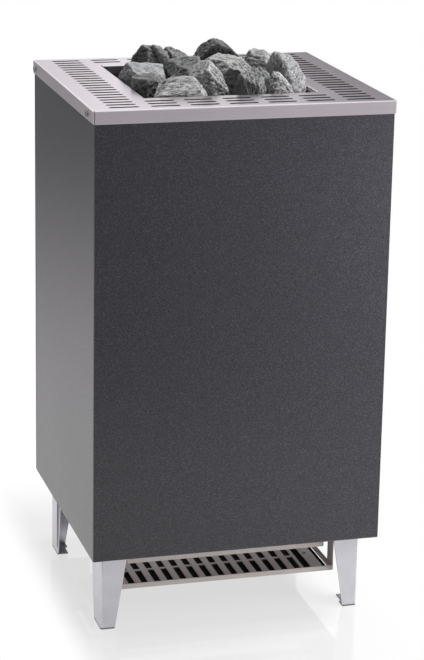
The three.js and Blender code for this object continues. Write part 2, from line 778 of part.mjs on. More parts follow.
function floorReflector() {
  const top = trayUnderside - SEAT_GAP;
  const bottom = top - REFLECTOR_DEPTH;
  const x = trayX - REFLECTOR_SIDE_INSET;
  const front = trayFront + REFLECTOR_INSET;
  const rear = trayRear - REFLECTOR_INSET;
  const wall = REFLECTOR_SHEET;
  const pan = box(-x, x, front, rear, bottom, top);
  return cut(pan, box(-x + wall, x - wall, front + wall, rear - wall, bottom + wall, top + OVERLAP));
}

// Heat shield and stone chamber

function heatShield() {
  const x = chassisX - SHIELD_EDGE_INSET;
  const y = chassisY - SHIELD_EDGE_INSET;
  const top = COVER_TOP - SHIELD_TOP_DROP;
  const tube = rectangularTube(x, -y, y, SHIELD_SHEET, SHIELD_CORNER, chamberBottom, top);
  const notchX = boxX + OVERLAP;
  const notch = box(
    -notchX,
    notchX,
    y - SHIELD_SHEET - OVERLAP,
    y + OVERLAP,
    chamberBottom - OVERLAP,
    boxTop + OVERLAP,
  );
  return cut(tube, notch);
}

function pinHole(x, level, from, to) {
  const outline = new THREE.Shape(circle(ELEMENT_RADIUS + HOLE_PLAY, ROUND_SIDES, x, level));
  return alongY(outline, from - OVERLAP, to + OVERLAP);
}

function stoneChamber() {
  const tube = rectangularTube(
    chamberX,
    chamberFront,
    chamberRear,
    CHAMBER_SHEET,
    CHAMBER_CORNER,
    chamberBottom,
    panelTop,
  );
  const ledgeTop = grateUnderside - SEAT_GAP;
  const ledge = box(
    -chamberX + CHAMBER_SHEET / 2,
    -chamberInnerX + LEDGE_WIDTH,
    chamberInnerFront + CHAMBER_CORNER,
    chamberInnerRear - CHAMBER_CORNER,
    ledgeTop - LEDGE_SHEET,
    ledgeTop,
  );
  const holes = elementX.flatMap((x) => [
    pinHole(x, lowerPinLevel, chamberInnerRear, chamberRear),
    pinHole(x, upperPinLevel, chamberInnerRear, chamberRear),
  ]);
  return cut(joined(tube, ledge, mirrored(ledge, -1, 1)), ...holes);
}

function stoneGrate() {
  const x = chamberInnerX - GRATE_PLAY;
  const front = chamberInnerFront + GRATE_PLAY + CHAMBER_CORNER;
  const rear = chamberInnerRear - GRATE_PLAY - CHAMBER_CORNER;
  const half = GRATE_BAR_WIDTH / 2;
  const gaps = Math.floor((2 * (x - half)) / GRATE_BAR_PITCH);
  const bars = [];
  for (let i = 0; i <= gaps; i += 1) {
    const middle = (i - gaps / 2) * GRATE_BAR_PITCH;
    bars.push(box(middle - half, middle + half, front, rear, grateUnderside, grateTop));
  }
  const crossLevel = grateUnderside + GRATE_BAR_HEIGHT / 2;
  const quarter = (rear - front) / 4;
  for (const middle of [front + quarter, rear - quarter]) {
    bars.push(box(-x, x, middle - half, middle + half, grateUnderside, crossLevel));
  }
  return joined(...bars);
}

// Heating elements: one bent tube each, both ends through the rear wall

class BentPath extends THREE.Curve {
  constructor(points) {
    super();
    this.points = points;
  }

  getPointAt(u) {
    return this.points[Math.round(u * (this.points.length - 1))].clone();
  }

  getTangentAt(u) {
    const i = Math.round(u * (this.points.length - 1));
    const here = this.points[i];
    const tangent = new THREE.Vector3();
    if (i > 0) tangent.add(here.clone().sub(this.points[i - 1]).normalize());
    if (i < this.points.length - 1) tangent.add(this.points[i + 1].clone().sub(here).normalize());
    return tangent.normalize();
  }
}

function tube(points, radius) {
  const section = new THREE.Shape(circle(radius, TUBE_SIDES));
  return new THREE.ExtrudeGeometry(section, { extrudePath: new BentPath(points), steps: points.length - 1 });
}

function heatingElement() {
  const front = chamberInnerFront + ELEMENT_WALL_GAP;
  const rear = chamberInnerRear - ELEMENT_WALL_GAP;
  const pitch = (rear - front) / 3;
  const top = grateUnderside - ELEMENT_GRATE_GAP - ELEMENT_RADIUS;
  const hairpin = chassisTop + ELEMENT_HAIRPIN_RISE;
  const route = [
    point(pinEnd, lowerPinLevel),
    point(front, lowerPinLevel),
    point(front, top),
    point(front + pitch, top),
    point(front + pitch, hairpin),
    point(rear - pitch, hairpin),
    point(rear - pitch, top),
    point(rear, top),
    point(rear, upperPinLevel),
    point(pinEnd, upperPinLevel),
  ];
  const bend = Math.min(ELEMENT_BEND, pitch / 2 - OVERLAP);
  const path = roundedPath(route, 0, 0, bend).map(({ x, y }) => new THREE.Vector3(0, x, y));
  const collars = [lowerPinLevel, upperPinLevel].map((level) => {
    const end = chamberInnerRear - SEAT_GAP;
    const outline = new THREE.Shape(circle(COLLAR_RADIUS, TUBE_SIDES, 0, level));
    return alongY(outline, end - COLLAR_LENGTH, end);
  });
  return joined(tube(path, ELEMENT_RADIUS), ...collars);
}

// Terminal box and what is in it

function terminalBox() {
  const outer = box(-boxX, boxX, boxFront, boxRear, boxBottom, boxTop);
  const hollow = box(
    -boxX + BOX_SHEET,
    boxX - BOX_SHEET,
    boxFront + BOX_SHEET,
    boxRear + OVERLAP,
    boxFloor,
    boxTop - BOX_SHEET,
  );
  const holes = elementX.flatMap((x) => [
    pinHole(x, lowerPinLevel, boxFront, boxFront + BOX_SHEET),
    pinHole(x, upperPinLevel, boxFront, boxFront + BOX_SHEET),
  ]);
  const glandOutline = circle(GLAND_THREAD_RADIUS + HOLE_PLAY, ROUND_SIDES, GLAND_X, glandY);
  const glandHole = alongZ(new THREE.Shape(glandOutline), boxBottom - OVERLAP, boxFloor + OVERLAP);
  return cut(outer, hollow, glandHole, ...holes);
}

function terminalLid() {
  const x = boxX - BOX_OPENING_BORDER + LID_BORDER;
  const low = boxBottom + BOX_OPENING_BORDER - LID_BORDER;
  const high = boxTop - BOX_OPENING_BORDER + LID_BORDER;
  const outline = new THREE.Shape(roundedRectangle(-x, x, low, high, LID_BORDER / 2));
  const face = panelY + SEAT_GAP;
  return alongY(outline, face, face + LID_SHEET);
}

function terminalBlock() {
  const half = BLOCK_WIDTH / 2;
  const front = blockRear - BLOCK_DEPTH;
  const base = box(-half, half, front, blockRear, boxFloor + SEAT_GAP, blockTop);
  const walls = [];
  for (let i = 0; i < BLOCK_WALLS; i += 1) {
    const x = (i - (BLOCK_WALLS - 1) / 2) * LEAD_PITCH;
    const side = BLOCK_WALL_SHEET / 2;
    walls.push(box(x - side, x + side, front, blockRear, blockTop - OVERLAP, blockTop + BLOCK_WALL_HEIGHT));
  }
  return joined(base, ...walls);
}

// A bar that bridges the upper ends of the three elements
function neutralLink() {
  const x = ELEMENT_PITCH + LINK_OVERHANG;
  const half = LINK_HEIGHT / 2;
  const front = boxFront + BOX_SHEET + LINK_GAP;
  const bar = box(-x, x, front, front + LINK_SHEET, upperPinLevel - half, upperPinLevel + half);
  return cut(bar, ...elementX.map((pinX) => pinHole(pinX, upperPinLevel, front, front + LINK_SHEET)));
}

// A short sleeved wire from a lower element end down to the terminal block
function phaseLead(fromX, toX) {
  const toY = blockRear - BLOCK_DEPTH / 2;
  const start = pinEnd + SEAT_GAP;
  const end = blockTop + SEAT_GAP;
  const curve = new THREE.CatmullRomCurve3([
    new THREE.Vector3(fromX, start, lowerPinLevel),
    new THREE.Vector3(fromX, start + LEAD_REACH, lowerPinLevel),
    new THREE.Vector3(toX, toY, end + LEAD_REACH),
    new THREE.Vector3(toX, toY, end),
  ]);
  return tube(curve.getPoints(LEAD_STEPS), LEAD_RADIUS);
}

// Gland and nut stand on their own axis, with the outside of the box floor at height 0
function cableGland() {
  const flangeLow = -SEAT_GAP - GLAND_FLANGE_HEIGHT;
  const domeLow = flangeLow - GLAND_DOME_HEIGHT;
  const mouth = (GLAND_BORE_RADIUS + GLAND_DOME_RADIUS) / 2;
  return turned([
    point(GLAND_BORE_RADIUS, domeLow),
    point(mouth, domeLow),
    point(GLAND_DOME_RADIUS, domeLow + GLAND_DOME_HEIGHT / 2),
    point(GLAND_DOME_RADIUS, flangeLow),
    point(GLAND_FLANGE_RADIUS, flangeLow),
    point(GLAND_FLANGE_RADIUS, -SEAT_GAP),
    point(GLAND_THREAD_RADIUS, -SEAT_GAP),
    point(GLAND_THREAD_RADIUS, GLAND_THREAD_LENGTH - SEAT_GAP),
    point(GLAND_BORE_RADIUS, GLAND_THREAD_LENGTH - SEAT_GAP),
    point(GLAND_BORE_RADIUS, domeLow),
  ]);
}

function glandNut() {
  const outer = circle(GLAND_NUT_RADIUS, HEXAGON_SIDES);
  const inner = circle(GLAND_THREAD_RADIUS + HOLE_PLAY);
  const low = BOX_SHEET + SEAT_GAP;
  return alongZ(tubeOutline(outer, inner), low, low + GLAND_NUT_HEIGHT);
}

// Stones: faceted lumps, each let straight down until it rests on what is already there

const STONE_POINTS = 30;
const STONE_SQUARENESS = 3.4;
const STONE_ROUGHNESS = 0.2;
const LEVEL_LIMIT = 1e-4;
const GOLDEN_ANGLE = Math.PI * (3 - Math.sqrt(5));
const DEGREE = Math.PI / 180;

function randomFrom(seed) {
  let state = seed >>> 0;
  return () => {
    state = (Math.imul(state, 1664525) + 1013904223) >>> 0;
    return state / 2 ** 32;
  };
}

function stoneLump(seed, [length, width, height]) {
  const random = randomFrom(seed * 7919);
  const corners = [];
  for (let i = 0; i < STONE_POINTS; i += 1) {
    const up = 1 - (2 * i + 1) / STONE_POINTS;
    const ring = Math.sqrt(1 - up * up);
    const ray = new THREE.Vector3(ring * Math.cos(i * GOLDEN_ANGLE), ring * Math.sin(i * GOLDEN_ANGLE), up);
    const power = (value) => Math.abs(value) ** STONE_SQUARENESS;
    const swell = (power(ray.x) + power(ray.y) + power(ray.z)) ** (-1 / STONE_SQUARENESS);
    ray.multiplyScalar(swell * (1 - STONE_ROUGHNESS * random()));
    corners.push(ray.multiply(new THREE.Vector3(length / 2, width / 2, height / 2)));
  }
  return new ConvexGeometry(corners);
}

// Triangles that face up (side 1) or down (side -1), with their planes
function facesTowards(geometry, side) {
  const source = geometry.index ? geometry.toNonIndexed() : geometry;
  const position = source.attributes.position;
  const faces = [];
  for (let i = 0; i < position.count; i += 3) {
    const corners = [0, 1, 2].map((k) => new THREE.Vector3().fromBufferAttribute(position, i + k));
    const plane = new THREE.Plane().setFromCoplanarPoints(...corners);
    if (side * plane.normal.z > LEVEL_LIMIT) {
      faces.push({ corners, plane, box: new THREE.Box3().setFromPoints(corners) });
    }
  }
  return faces;
}

function heightOn({ plane }, x, y) {
  return -(plane.constant + plane.normal.x * x + plane.normal.y * y) / plane.normal.z;
}

function crossXY(a, b, c) {
  return (b.x - a.x) * (c.y - a.y) - (b.y - a.y) * (c.x - a.x);
}

function coversPoint({ corners: [a, b, c] }, p) {
  const sides = [crossXY(a, b, p), crossXY(b, c, p), crossXY(c, a, p)];
  return sides.every((s) => s >= 0) || sides.every((s) => s <= 0);
}

function edgeCrossing(a, b, c, d) {
  const across = (b.x - a.x) * (d.y - c.y) - (b.y - a.y) * (d.x - c.x);
  if (across === 0) return null;
  const t = ((c.x - a.x) * (d.y - c.y) - (c.y - a.y) * (d.x - c.x)) / across;
  const s = ((c.x - a.x) * (b.y - a.y) - (c.y - a.y) * (b.x - a.x)) / across;
  return t < 0 || t > 1 || s < 0 || s > 1 ? null : a.clone().lerp(b, t);
}

// How far one face can sink before it meets another, Infinity where they don't overlap in plan
function fallBetween(upper, lower) {
  const meets = [
    ...upper.corners.filter((p) => coversPoint(lower, p)),
    ...lower.corners.filter((p) => coversPoint(upper, p)),
  ];
  for (let i = 0; i < 3; i += 1) {
    for (let j = 0; j < 3; j += 1) {
      const [a, b] = [upper.corners[i], upper.corners[(i + 1) % 3]];
      const [c, d] = [lower.corners[j], lower.corners[(j + 1) % 3]];
      const crossing = edgeCrossing(a, b, c, d);
      if (crossing) meets.push(crossing);
    }
  }
  return Math.min(...meets.map((p) => heightOn(upper, p.x, p.y) - heightOn(lower, p.x, p.y)));
}

function apartInPlan(a, b) {
  return a.min.x > b.max.x || b.min.x > a.max.x || a.min.y > b.max.y || b.min.y > a.max.y;
}

// How far a lump can fall before it meets the faces below it
function fallOnto(lump, restingFaces) {
  let fall = Infinity;
  for (const upper of facesTowards(lump, -1)) {
    for (const lower of restingFaces) {
      if (!apartInPlan(upper.box, lower.box)) fall = Math.min(fall, fallBetween(upper, lower));
    }
  }
  return fall;
}

// Each stone: its length and width as shares of half the opening and its height, its turn about X, Y
// and Z in degrees, and where its middle lies, from -1 at the left or front edge of the opening to 1
const LOWER_STONES = [
  { size: [0.924, 0.653, 74], turns: [4, -6, 4], place: [-0.5, -0.66] },
  { size: [0.941, 0.637, 72], turns: [-6, 5, -4], place: [0.5, -0.66] },
  { size: [0.908, 0.669, 74], turns: [6, 4, 3], place: [-0.5, 0] },
  { size: [0.941, 0.653, 76], turns: [-4, -6, -3], place: [0.5, 0] },
  { size: [0.924, 0.669, 72], turns: [5, 6, -4], place: [-0.5, 0.66] },
  { size: [0.941, 0.653, 74], turns: [-6, 3, 4], place: [0.5, 0.66] },
];

const UPPER_STONES = [
  { size: [0.55, 0.51, 52], turns: [-8, -6, 16], place: [-0.73, 0.18] },
  { size: [0.39, 0.47, 82], turns: [10, 8, 12], place: [-0.79, -0.37] },
  { size: [0.42, 0.38, 83], turns: [8, 16, -16], place: [-0.51, 0.62] },
  { size: [0.32, 0.44, 78], turns: [6, -8, 6], place: [-0.15, 0.76] },
  { size: [0.49, 0.72, 68], turns: [10, -8, 8], place: [-0.23, 0.03] },
  { size: [0.62, 0.38, 50], turns: [-8, 6, -6], place: [-0.54, -0.81] },
  { size: [0.39, 0.49, 82], turns: [-8, -14, 22], place: [-0.13, -0.54] },
  { size: [0.54, 0.54, 76], turns: [10, -8, 12], place: [0.33, 0.69] },
  { size: [0.5, 0.54, 62], turns: [8, 10, -12], place: [0.26, 0.07] },
  { size: [0.34, 0.41, 58], turns: [8, -10, 10], place: [0.29, -0.76] },
  { size: [0.27, 0.38, 52], turns: [-12, 8, 10], place: [0.6, -0.78] },
  { size: [0.28, 0.93, 72], turns: [14, 8, 2], place: [0.85, -0.36] },
  { size: [0.39, 0.49, 67], turns: [-8, 10, -10], place: [0.77, 0.46] },
  { size: [0.36, 0.28, 70], turns: [10, -8, 6], place: [0.45, -0.4] },
];

// Fills a group with stones, each turned, set over its place and let down until it rests
function pileStones(group, grate) {
  const resting = facesTowards(grate, 1);
  const middleY = (openingFront + openingRear) / 2;
  const halfY = (openingRear - openingFront) / 2;
  [...LOWER_STONES, ...UPPER_STONES].forEach(({ size, turns, place }, index) => {
    const lump = stoneLump(index + 1, [size[0] * openingX, size[1] * halfY, size[2]]);
    const stone = add(group, `stone_${String(index + 1).padStart(2, "0")}`, lump, stoneGrey);
    stone.rotation.set(...turns.map((angle) => angle * DEGREE), "ZYX");
    const bounds = new THREE.Box3().setFromObject(stone, true);
    const centre = bounds.getCenter(new THREE.Vector3());
    const spread = bounds.getSize(new THREE.Vector3());
    const roomX = openingX - STONE_PLAY - spread.x / 2;
    const roomY = halfY - STONE_PLAY - spread.y / 2;
    const x = THREE.MathUtils.clamp(place[0] * openingX, -roomX, roomX);
    const y = THREE.MathUtils.clamp(place[1] * halfY, -roomY, roomY);
    stone.position.set(x - centre.x, middleY + y - centre.y, 2 * COVER_TOP);
    stone.updateMatrix();
    stone.position.z += SEAT_GAP - fallOnto(lump.clone().applyMatrix4(stone.matrix), resting);
    stone.updateMatrix();
    resting.push(...facesTowards(lump.clone().applyMatrix4(stone.matrix), 1));
  });
}

// Finishes

const stainless = { color: 0xcfc9c8, roughness: 0.35, metalness: 1 };
const casingPaint = { color: 0x48484c, roughness: 0.5, metalness: 0.3 };
const legSteel = { color: 0xc3c3c9, roughness: 0.45, metalness: 0.9 };
const zincSteel = { color: 0xa9aaac, roughness: 0.5, metalness: 0.9 };
const darkSteel = { color: 0x3a3836, roughness: 0.6, metalness: 0.8 };
const elementSteel = { color: 0x5a5d55, roughness: 0.5, metalness: 0.9 };
const ceramic = { color: 0xe6e2d8, roughness: 0.6, metalness: 0 };
const brassFinish = { color: 0xb9975a, roughness: 0.4, metalness: 1 };
const wireSleeve = { color: 0xd8d2c4, roughness: 0.8, metalness: 0 };
const blackPlastic = { color: 0x1c1c1d, roughness: 0.55, metalness: 0 };
const stoneGrey = { color: 0x7f8380, roughness: 0.9, metalness: 0 };

// Assembly: a group for each unit that comes apart on the bench

function add(group, name, geometry, finish, position = [0, 0, 0], turn = [0, 0, 0]) {
  const mesh = new THREE.Mesh(geometry, new THREE.MeshStandardMaterial(finish));
  mesh.name = name;
  mesh.position.set(...position);
  mesh.rotation.set(...turn);
  group.add(mesh);
  return mesh;
}

const cover = new THREE.Group();
add(cover, "top_cover", topCover(), stainless);
for (const [name, side, y] of coverScrewPlaces()) {
  const seat = [side * (coverX + SEAT_GAP), y, screwLevel];
  add(cover, `cover_screw_${name}`, coverScrew(), stainless, seat, [0, (side * Math.PI) / 2, 0]);
}

const casing = new THREE.Group();
add(casing, "front_panel", frontPanel(), casingPaint);
add(casing, "left_panel", leftPanel(), casingPaint);
add(casing, "right_panel", leftPanel(), casingPaint).scale.x = -1;
add(casing, "rear_panel", rearPanel(), casingPaint);

// Each leg and its bolt are drawn for the front left corner and mirrored to the others
const stand = new THREE.Group();
const LEG_CORNERS = [
  ["front_left", -1, -1],
  ["front_right", 1, -1],
  ["rear_left", -1, 1],
  ["rear_right", 1, 1],
];
for (const [name, sideX, sideY] of LEG_CORNERS) {
  const corner = new THREE.Group();
  corner.position.set(sideX * legX, sideY * legY, 0);
  corner.scale.set(-sideX, -sideY, 1);
  add(corner, `leg_${name}`, leg(), legSteel);
  add(corner, `leg_bolt_${name}`, legBolt(), zincSteel, [LEG_FACE_WIDTH / 2, -SEAT_GAP, boltLevel]);
  stand.add(corner);
}
add(stand, "chassis_plate", chassisPlate(), zincSteel);

const intake = new THREE.Group();
add(intake, "intake_frame", intakeFrame(), stainless);
add(intake, "intake_tray", intakeTray(), stainless);
for (const [side, name, y] of trayTabPlaces()) {
  const seat = [side * trayScrewX, y, trayTabTop - TRAY_SHEET - SEAT_GAP];
  add(intake, `tray_screw_${name}`, trayScrew(), zincSteel, seat);
}
add(intake, "floor_reflector", floorReflector(), darkSteel);

const core = new THREE.Group();
add(core, "heat_shield", heatShield(), zincSteel);
add(core, "stone_chamber", stoneChamber(), stainless);
const grate = add(core, "stone_grate", stoneGrate(), darkSteel);
elementX.forEach((x, index) => {
  add(core, `heating_element_${index + 1}`, heatingElement(), elementSteel, [x, 0, 0]);
});
pileStones(core, grate.geometry);

const terminals = new THREE.Group();
add(terminals, "terminal_box", terminalBox(), zincSteel);
add(terminals, "terminal_lid", terminalLid(), casingPaint);
add(terminals, "terminal_block", terminalBlock(), ceramic);
add(terminals, "neutral_link", neutralLink(), brassFinish);
elementX.forEach((x, index) => {
  add(terminals, `phase_lead_${index + 1}`, phaseLead(x, (index - 1) * LEAD_PITCH), wireSleeve);
});
const glandSeat = [GLAND_X, glandY, boxBottom];
add(terminals, "cable_gland", cableGland(), blackPlastic, glandSeat);
add(terminals, "gland_nut", glandNut(), blackPlastic, glandSeat);

const heater = new THREE.Group();
heater.add(cover, casing, stand, intake, core, terminals);

export default heater;
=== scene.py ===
"""Looks of a floor-standing sauna heater: broken stones, brushed steel, pearl paint and satin legs."""
import math
import random

import bmesh
import bpy
from mathutils import Matrix, Vector, noise
from mathutils.bvhtree import BVHTree


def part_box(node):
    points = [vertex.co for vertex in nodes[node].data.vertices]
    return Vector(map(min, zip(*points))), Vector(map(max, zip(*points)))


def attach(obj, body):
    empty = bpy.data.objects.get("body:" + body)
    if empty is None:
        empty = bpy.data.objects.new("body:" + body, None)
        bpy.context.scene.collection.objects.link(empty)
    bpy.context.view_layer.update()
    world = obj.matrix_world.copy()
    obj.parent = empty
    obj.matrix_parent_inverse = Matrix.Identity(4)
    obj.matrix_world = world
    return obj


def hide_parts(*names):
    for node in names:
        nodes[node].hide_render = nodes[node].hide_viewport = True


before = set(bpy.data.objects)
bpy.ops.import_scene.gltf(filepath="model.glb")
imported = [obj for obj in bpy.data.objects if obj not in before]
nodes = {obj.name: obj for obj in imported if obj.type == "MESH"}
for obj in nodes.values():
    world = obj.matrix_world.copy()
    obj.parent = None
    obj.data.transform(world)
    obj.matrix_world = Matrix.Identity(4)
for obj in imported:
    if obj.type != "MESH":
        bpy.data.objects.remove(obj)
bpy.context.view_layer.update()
scene = bpy.context.scene

MM = 0.001
UP = Vector((0, 0, 1))
CORNERS = ("front_left", "front_right", "rear_left", "rear_right")


# Finishes

# Sockets of a Mix node for colours
MIX_SHARE, MIX_FIRST, MIX_SECOND, MIX_RESULT = 0, 6, 7, 2


class Tap:
    """One output of a finish's nodes. Arithmetic on it adds Math nodes."""

    def __init__(self, finish, socket):
        self.finish = finish
        self.socket = socket

    def math(self, operation, first, second):
        return self.finish.node("ShaderNodeMath", {"operation": operation}, {0: first, 1: second})

    def __add__(self, other):
        return self.math("ADD", self, other)

    def __radd__(self, other):
        return self.math("ADD", other, self)

    def __sub__(self, other):
        return self.math("SUBTRACT", self, other)

    def __rsub__(self, other):
        return self.math("SUBTRACT", other, self)

    def __mul__(self, other):
        return self.math("MULTIPLY", self, other)

    def __rmul__(self, other):
        return self.math("MULTIPLY", other, self)


class Finish:
    """A material or world whose nodes come from node(), with the patterns that several finishes share."""

    def __init__(self, owner):
        self.owner = owner
        owner.use_nodes = True
        self.tree = owner.node_tree
        self.tree.nodes.clear()

    def node(self, kind, settings=None, sockets=None, out=0):
        made = self.tree.nodes.new(kind)
        for name, value in (settings or {}).items():
            if name == "stops":
                elements = made.color_ramp.elements
                while len(elements) < len(value):
                    elements.new(1)
                for element, (spot, grey) in zip(elements, value):
                    element.position = spot
                    element.color = (grey, grey, grey, 1)
            else:
                setattr(made, name, value)
        for name, value in (sockets or {}).items():
            if isinstance(value, Tap):
                self.tree.links.new(value.socket, made.inputs[name])
            else:
                made.inputs[name].default_value = value
        return Tap(self, made.outputs[out]) if made.outputs else None

    def place(self, stretch=(1, 1, 1), turn=(0, 0, 0), shift=(0, 0, 0)):
        spot = self.node("ShaderNodeTexCoord", out="Object")
        return self.node("ShaderNodeMapping", {"vector_type": "TEXTURE"},
                         {"Vector": spot, "Location": shift, "Rotation": turn, "Scale": stretch})

    def axis(self, name):
        spot = self.node("ShaderNodeTexCoord", out="Object")
        return self.node("ShaderNodeSeparateXYZ", None, {"Vector": spot}, out=name)

    def cloud(self, where, scale, detail=2.0, roughness=0.5, distortion=0.0):
        return self.node("ShaderNodeTexNoise", None, {
            "Vector": where, "Scale": scale, "Detail": detail, "Roughness": roughness,
            "Distortion": distortion})

    def cells(self, where, scale):
        colour = self.node("ShaderNodeTexVoronoi", None, {"Vector": where, "Scale": scale}, out="Color")
        return self.node("ShaderNodeSeparateColor", None, {"Color": colour}, out="Red")

    def ramp(self, value, *stops):
        """A ramp of greys. Each stop is its place and its grey."""
        return self.node("ShaderNodeValToRGB", {"stops": stops}, {"Fac": value})

    def blend(self, share, first, second):
        return self.node("ShaderNodeMix", {"data_type": "RGBA"},
                         {MIX_SHARE: share, MIX_FIRST: first, MIX_SECOND: second}, out=MIX_RESULT)

    def fade(self, value, start, end):
        """1 up to the start, smoothly down to 0 at the end."""
        return self.node("ShaderNodeMapRange", {"interpolation_type": "SMOOTHSTEP"}, {
            "Value": value, "From Min": start, "From Max": end, "To Min": 1.0, "To Max": 0.0})

    def relief(self, height, strength, depth):
        return self.node("ShaderNodeBump", None, {"Height": height, "Strength": strength, "Distance": depth})

    def surface(self, sockets):
        shader = self.node("ShaderNodeBsdfPrincipled", None, sockets)
        self.node("ShaderNodeOutputMaterial", None, {"Surface": shader})
        return self.owner


def material(name):
    return Finish(bpy.data.materials.new(name))


def shade(red, green, blue):
    return (red, green, blue, 1)


def brushed_steel(name, pale, deep, roughness, metallic=1.0):
    """Sheet with fine hairlines along one direction and faint smears."""
    f = material(name)
    hairs = f.cloud(f.place(stretch=(220, 1, 1)), scale=1500)
    smears = f.cloud(f.place(), scale=11, detail=4, roughness=0.6)
    share = f.ramp(hairs, (0.3, 0), (0.7, 1)) * 0.55 + f.ramp(smears, (0.3, 0), (0.7, 1)) * 0.45
    return f.surface({
        "Base Color": f.blend(share, deep, pale),
        "Metallic": metallic,
        "Roughness": roughness + 0.1 * hairs + 0.05 * smears,
        "Normal": f.relief(hairs, strength=0.06, depth=0.1 * MM),
    })


def pearl_paint(name):
    """Anthracite powder coat with fine pale flakes and a faint orange peel."""
    f = material(name)
    where = f.place()
    flakes = f.ramp(f.cells(where, scale=1500), (0.76, 0), (0.97, 1))
    grain = f.ramp(f.cloud(where, scale=1500, detail=1), (0.35, 0), (0.7, 1))
    drift = f.cloud(where, scale=2.6)
    peel = f.cloud(where, scale=420)
    ground = f.blend(drift, shade(0.031, 0.03, 0.036), shade(0.036, 0.035, 0.042))
    speckled = f.blend(0.5 * grain, ground, shade(0.058, 0.056, 0.067))
    return f.surface({
        "Base Color": f.blend(0.72 * flakes, speckled, shade(0.17, 0.165, 0.192)),
        "Metallic": 0.12,
        "Roughness": 0.22 + 0.1 * peel + 0.05 * drift,
        "Normal": f.relief(peel, strength=0.06, depth=0.1 * MM),
    })


def satin_steel(name):
    """Leg sheet: matt silver with a fine pickled speckle, and a painted contact shadow that darkens it where
    it meets the floor.
    """
    f = material(name)
    where = f.place()
    speck = f.cloud(where, scale=620, detail=3, roughness=0.7)
    patches = f.cloud(where, scale=42, detail=3)
    share = 0.6 * f.ramp(speck, (0.32, 0), (0.68, 1)) + 0.4 * f.ramp(patches, (0.3, 0), (0.7, 1))
    clean = f.blend(share, shade(0.61, 0.6, 0.64), shade(0.75, 0.74, 0.78))
    # Painted contact shadow: the lowest few millimetres of each leg darken towards near black
    grime = f.fade(f.axis("Z"), start=1.2 * MM, end=3 * MM)
    return f.surface({
        "Base Color": f.blend(0.85 * grime, clean, shade(0.07, 0.065, 0.06)),
        "Metallic": 0.8,
        "Roughness": 0.34 + 0.12 * speck,
        "Normal": f.relief(speck, strength=0.12, depth=0.1 * MM),
    })


def zinc_plate(name, deep, pale):
    """Galvanised sheet with soft-edged spangles."""
    f = material(name)
    where = f.place()
    spangle = f.cells(where, scale=110)
    haze = f.cloud(where, scale=60, detail=3)
    return f.surface({
        "Base Color": f.blend(0.6 * spangle + 0.4 * haze, deep, pale),
        "Metallic": 0.9,
        "Roughness": 0.38 + 0.14 * spangle,
        "Normal": f.relief(haze, strength=0.08, depth=0.2 * MM),
    })


def rough_coat(name, deep, pale, roughness, scale, depth, metallic=0.0, gloss=0.5):
    """Any plain body whose tone, gloss and surface vary in one cloud pattern."""
    f = material(name)
    where = f.place()
    broad = f.cloud(where, scale, detail=4, roughness=0.6)
    fine = f.cloud(where, scale * 9)
    return f.surface({
        "Base Color": f.blend(0.65 * broad + 0.35 * fine, deep, pale),
        "Metallic": metallic,
        "Roughness": roughness + 0.14 * broad,
        "Specular IOR Level": gloss,
        "Normal": f.relief(broad + fine, strength=0.3, depth=depth),
    })


def broken_rock(name, pale, grey, deep, turn, shift):
    """Stone with a pale bloom, dark mottling along its grain, crests paled partly by wear and partly as
    painted highlight, and painted shade in its hollows.
    """
    f = material(name)
    where = f.place(shift=shift)
    along = f.place(stretch=(3.6, 1, 1), turn=turn, shift=shift)
    bloom = f.ramp(f.cloud(where, scale=30, detail=5, roughness=0.65), (0.38, 0), (0.6, 1))
    mottle = f.ramp(f.cloud(along, scale=250, detail=4, roughness=0.75, distortion=0.4), (0.43, 1), (0.5, 0))
    thread = f.ramp(f.cloud(along, scale=430, detail=3, roughness=0.75, distortion=0.6), (0.51, 0), (0.58, 1))
    grit = f.cloud(where, scale=520, detail=3, roughness=0.75)
    crest = f.node("ShaderNodeAttribute", {"attribute_name": "crest"}, out="Fac")
    ground = f.blend(bloom, grey, pale)
    spotted = f.blend(0.92 * mottle, ground, deep)
    threaded = f.blend(0.6 * thread, spotted, pale)
    gritty = f.blend(0.6 * f.ramp(grit, (0.4, 1), (0.5, 0)), threaded, deep)
    # Crests pale towards the pale tone: partly wear, partly painted highlight
    worn = f.blend(0.65 * f.ramp(crest, (0.52, 0), (0.78, 1)), gritty, pale)
    return f.surface({
        # Painted shade: hollows darken towards the deep tone
        "Base Color": f.blend(0.85 * f.ramp(crest, (0.2, 1), (0.46, 0)), worn, deep),
        "Roughness": 0.76 + 0.16 * grit,
        "Normal": f.relief(grit + 0.8 * mottle, strength=0.7, depth=0.8 * MM),
    })


stainless = brushed_steel(
    "stainless", shade(0.88, 0.835, 0.875), shade(0.78, 0.74, 0.775), roughness=0.22)
tray_steel = brushed_steel(
    "tray_steel", shade(0.7, 0.64, 0.62), shade(0.58, 0.53, 0.515), roughness=0.45, metallic=0.55)
# Steel darkened as painted shade, for the stone chamber inside the casing
hot_steel = brushed_steel(
    "hot_steel", shade(0.2, 0.19, 0.175), shade(0.13, 0.12, 0.11), roughness=0.4)
# Stainless darkened as painted shade, for screw heads that show dark reflections
screw_steel = brushed_steel(
    "screw_steel", shade(0.3, 0.29, 0.3), shade(0.16, 0.155, 0.16), roughness=0.2)
casing_paint = pearl_paint("casing_paint")
leg_steel = satin_steel("leg_steel")
zinc_steel = zinc_plate("zinc_steel", shade(0.34, 0.35, 0.36), shade(0.47, 0.48, 0.49))
# Galvanised sheet darkened to near black as painted shade, for the heat shield inside the casing
hot_zinc = zinc_plate("hot_zinc", shade(0.05, 0.049, 0.047), shade(0.095, 0.092, 0.088))
# Near-black walls for the cover's slots: painted shade for the dark inside of each slot
cut_edge = rough_coat(
    "cut_edge", shade(0.008, 0.008, 0.008), shade(0.022, 0.021, 0.021),
    roughness=0.6, scale=400, depth=0.05 * MM, gloss=0.1)
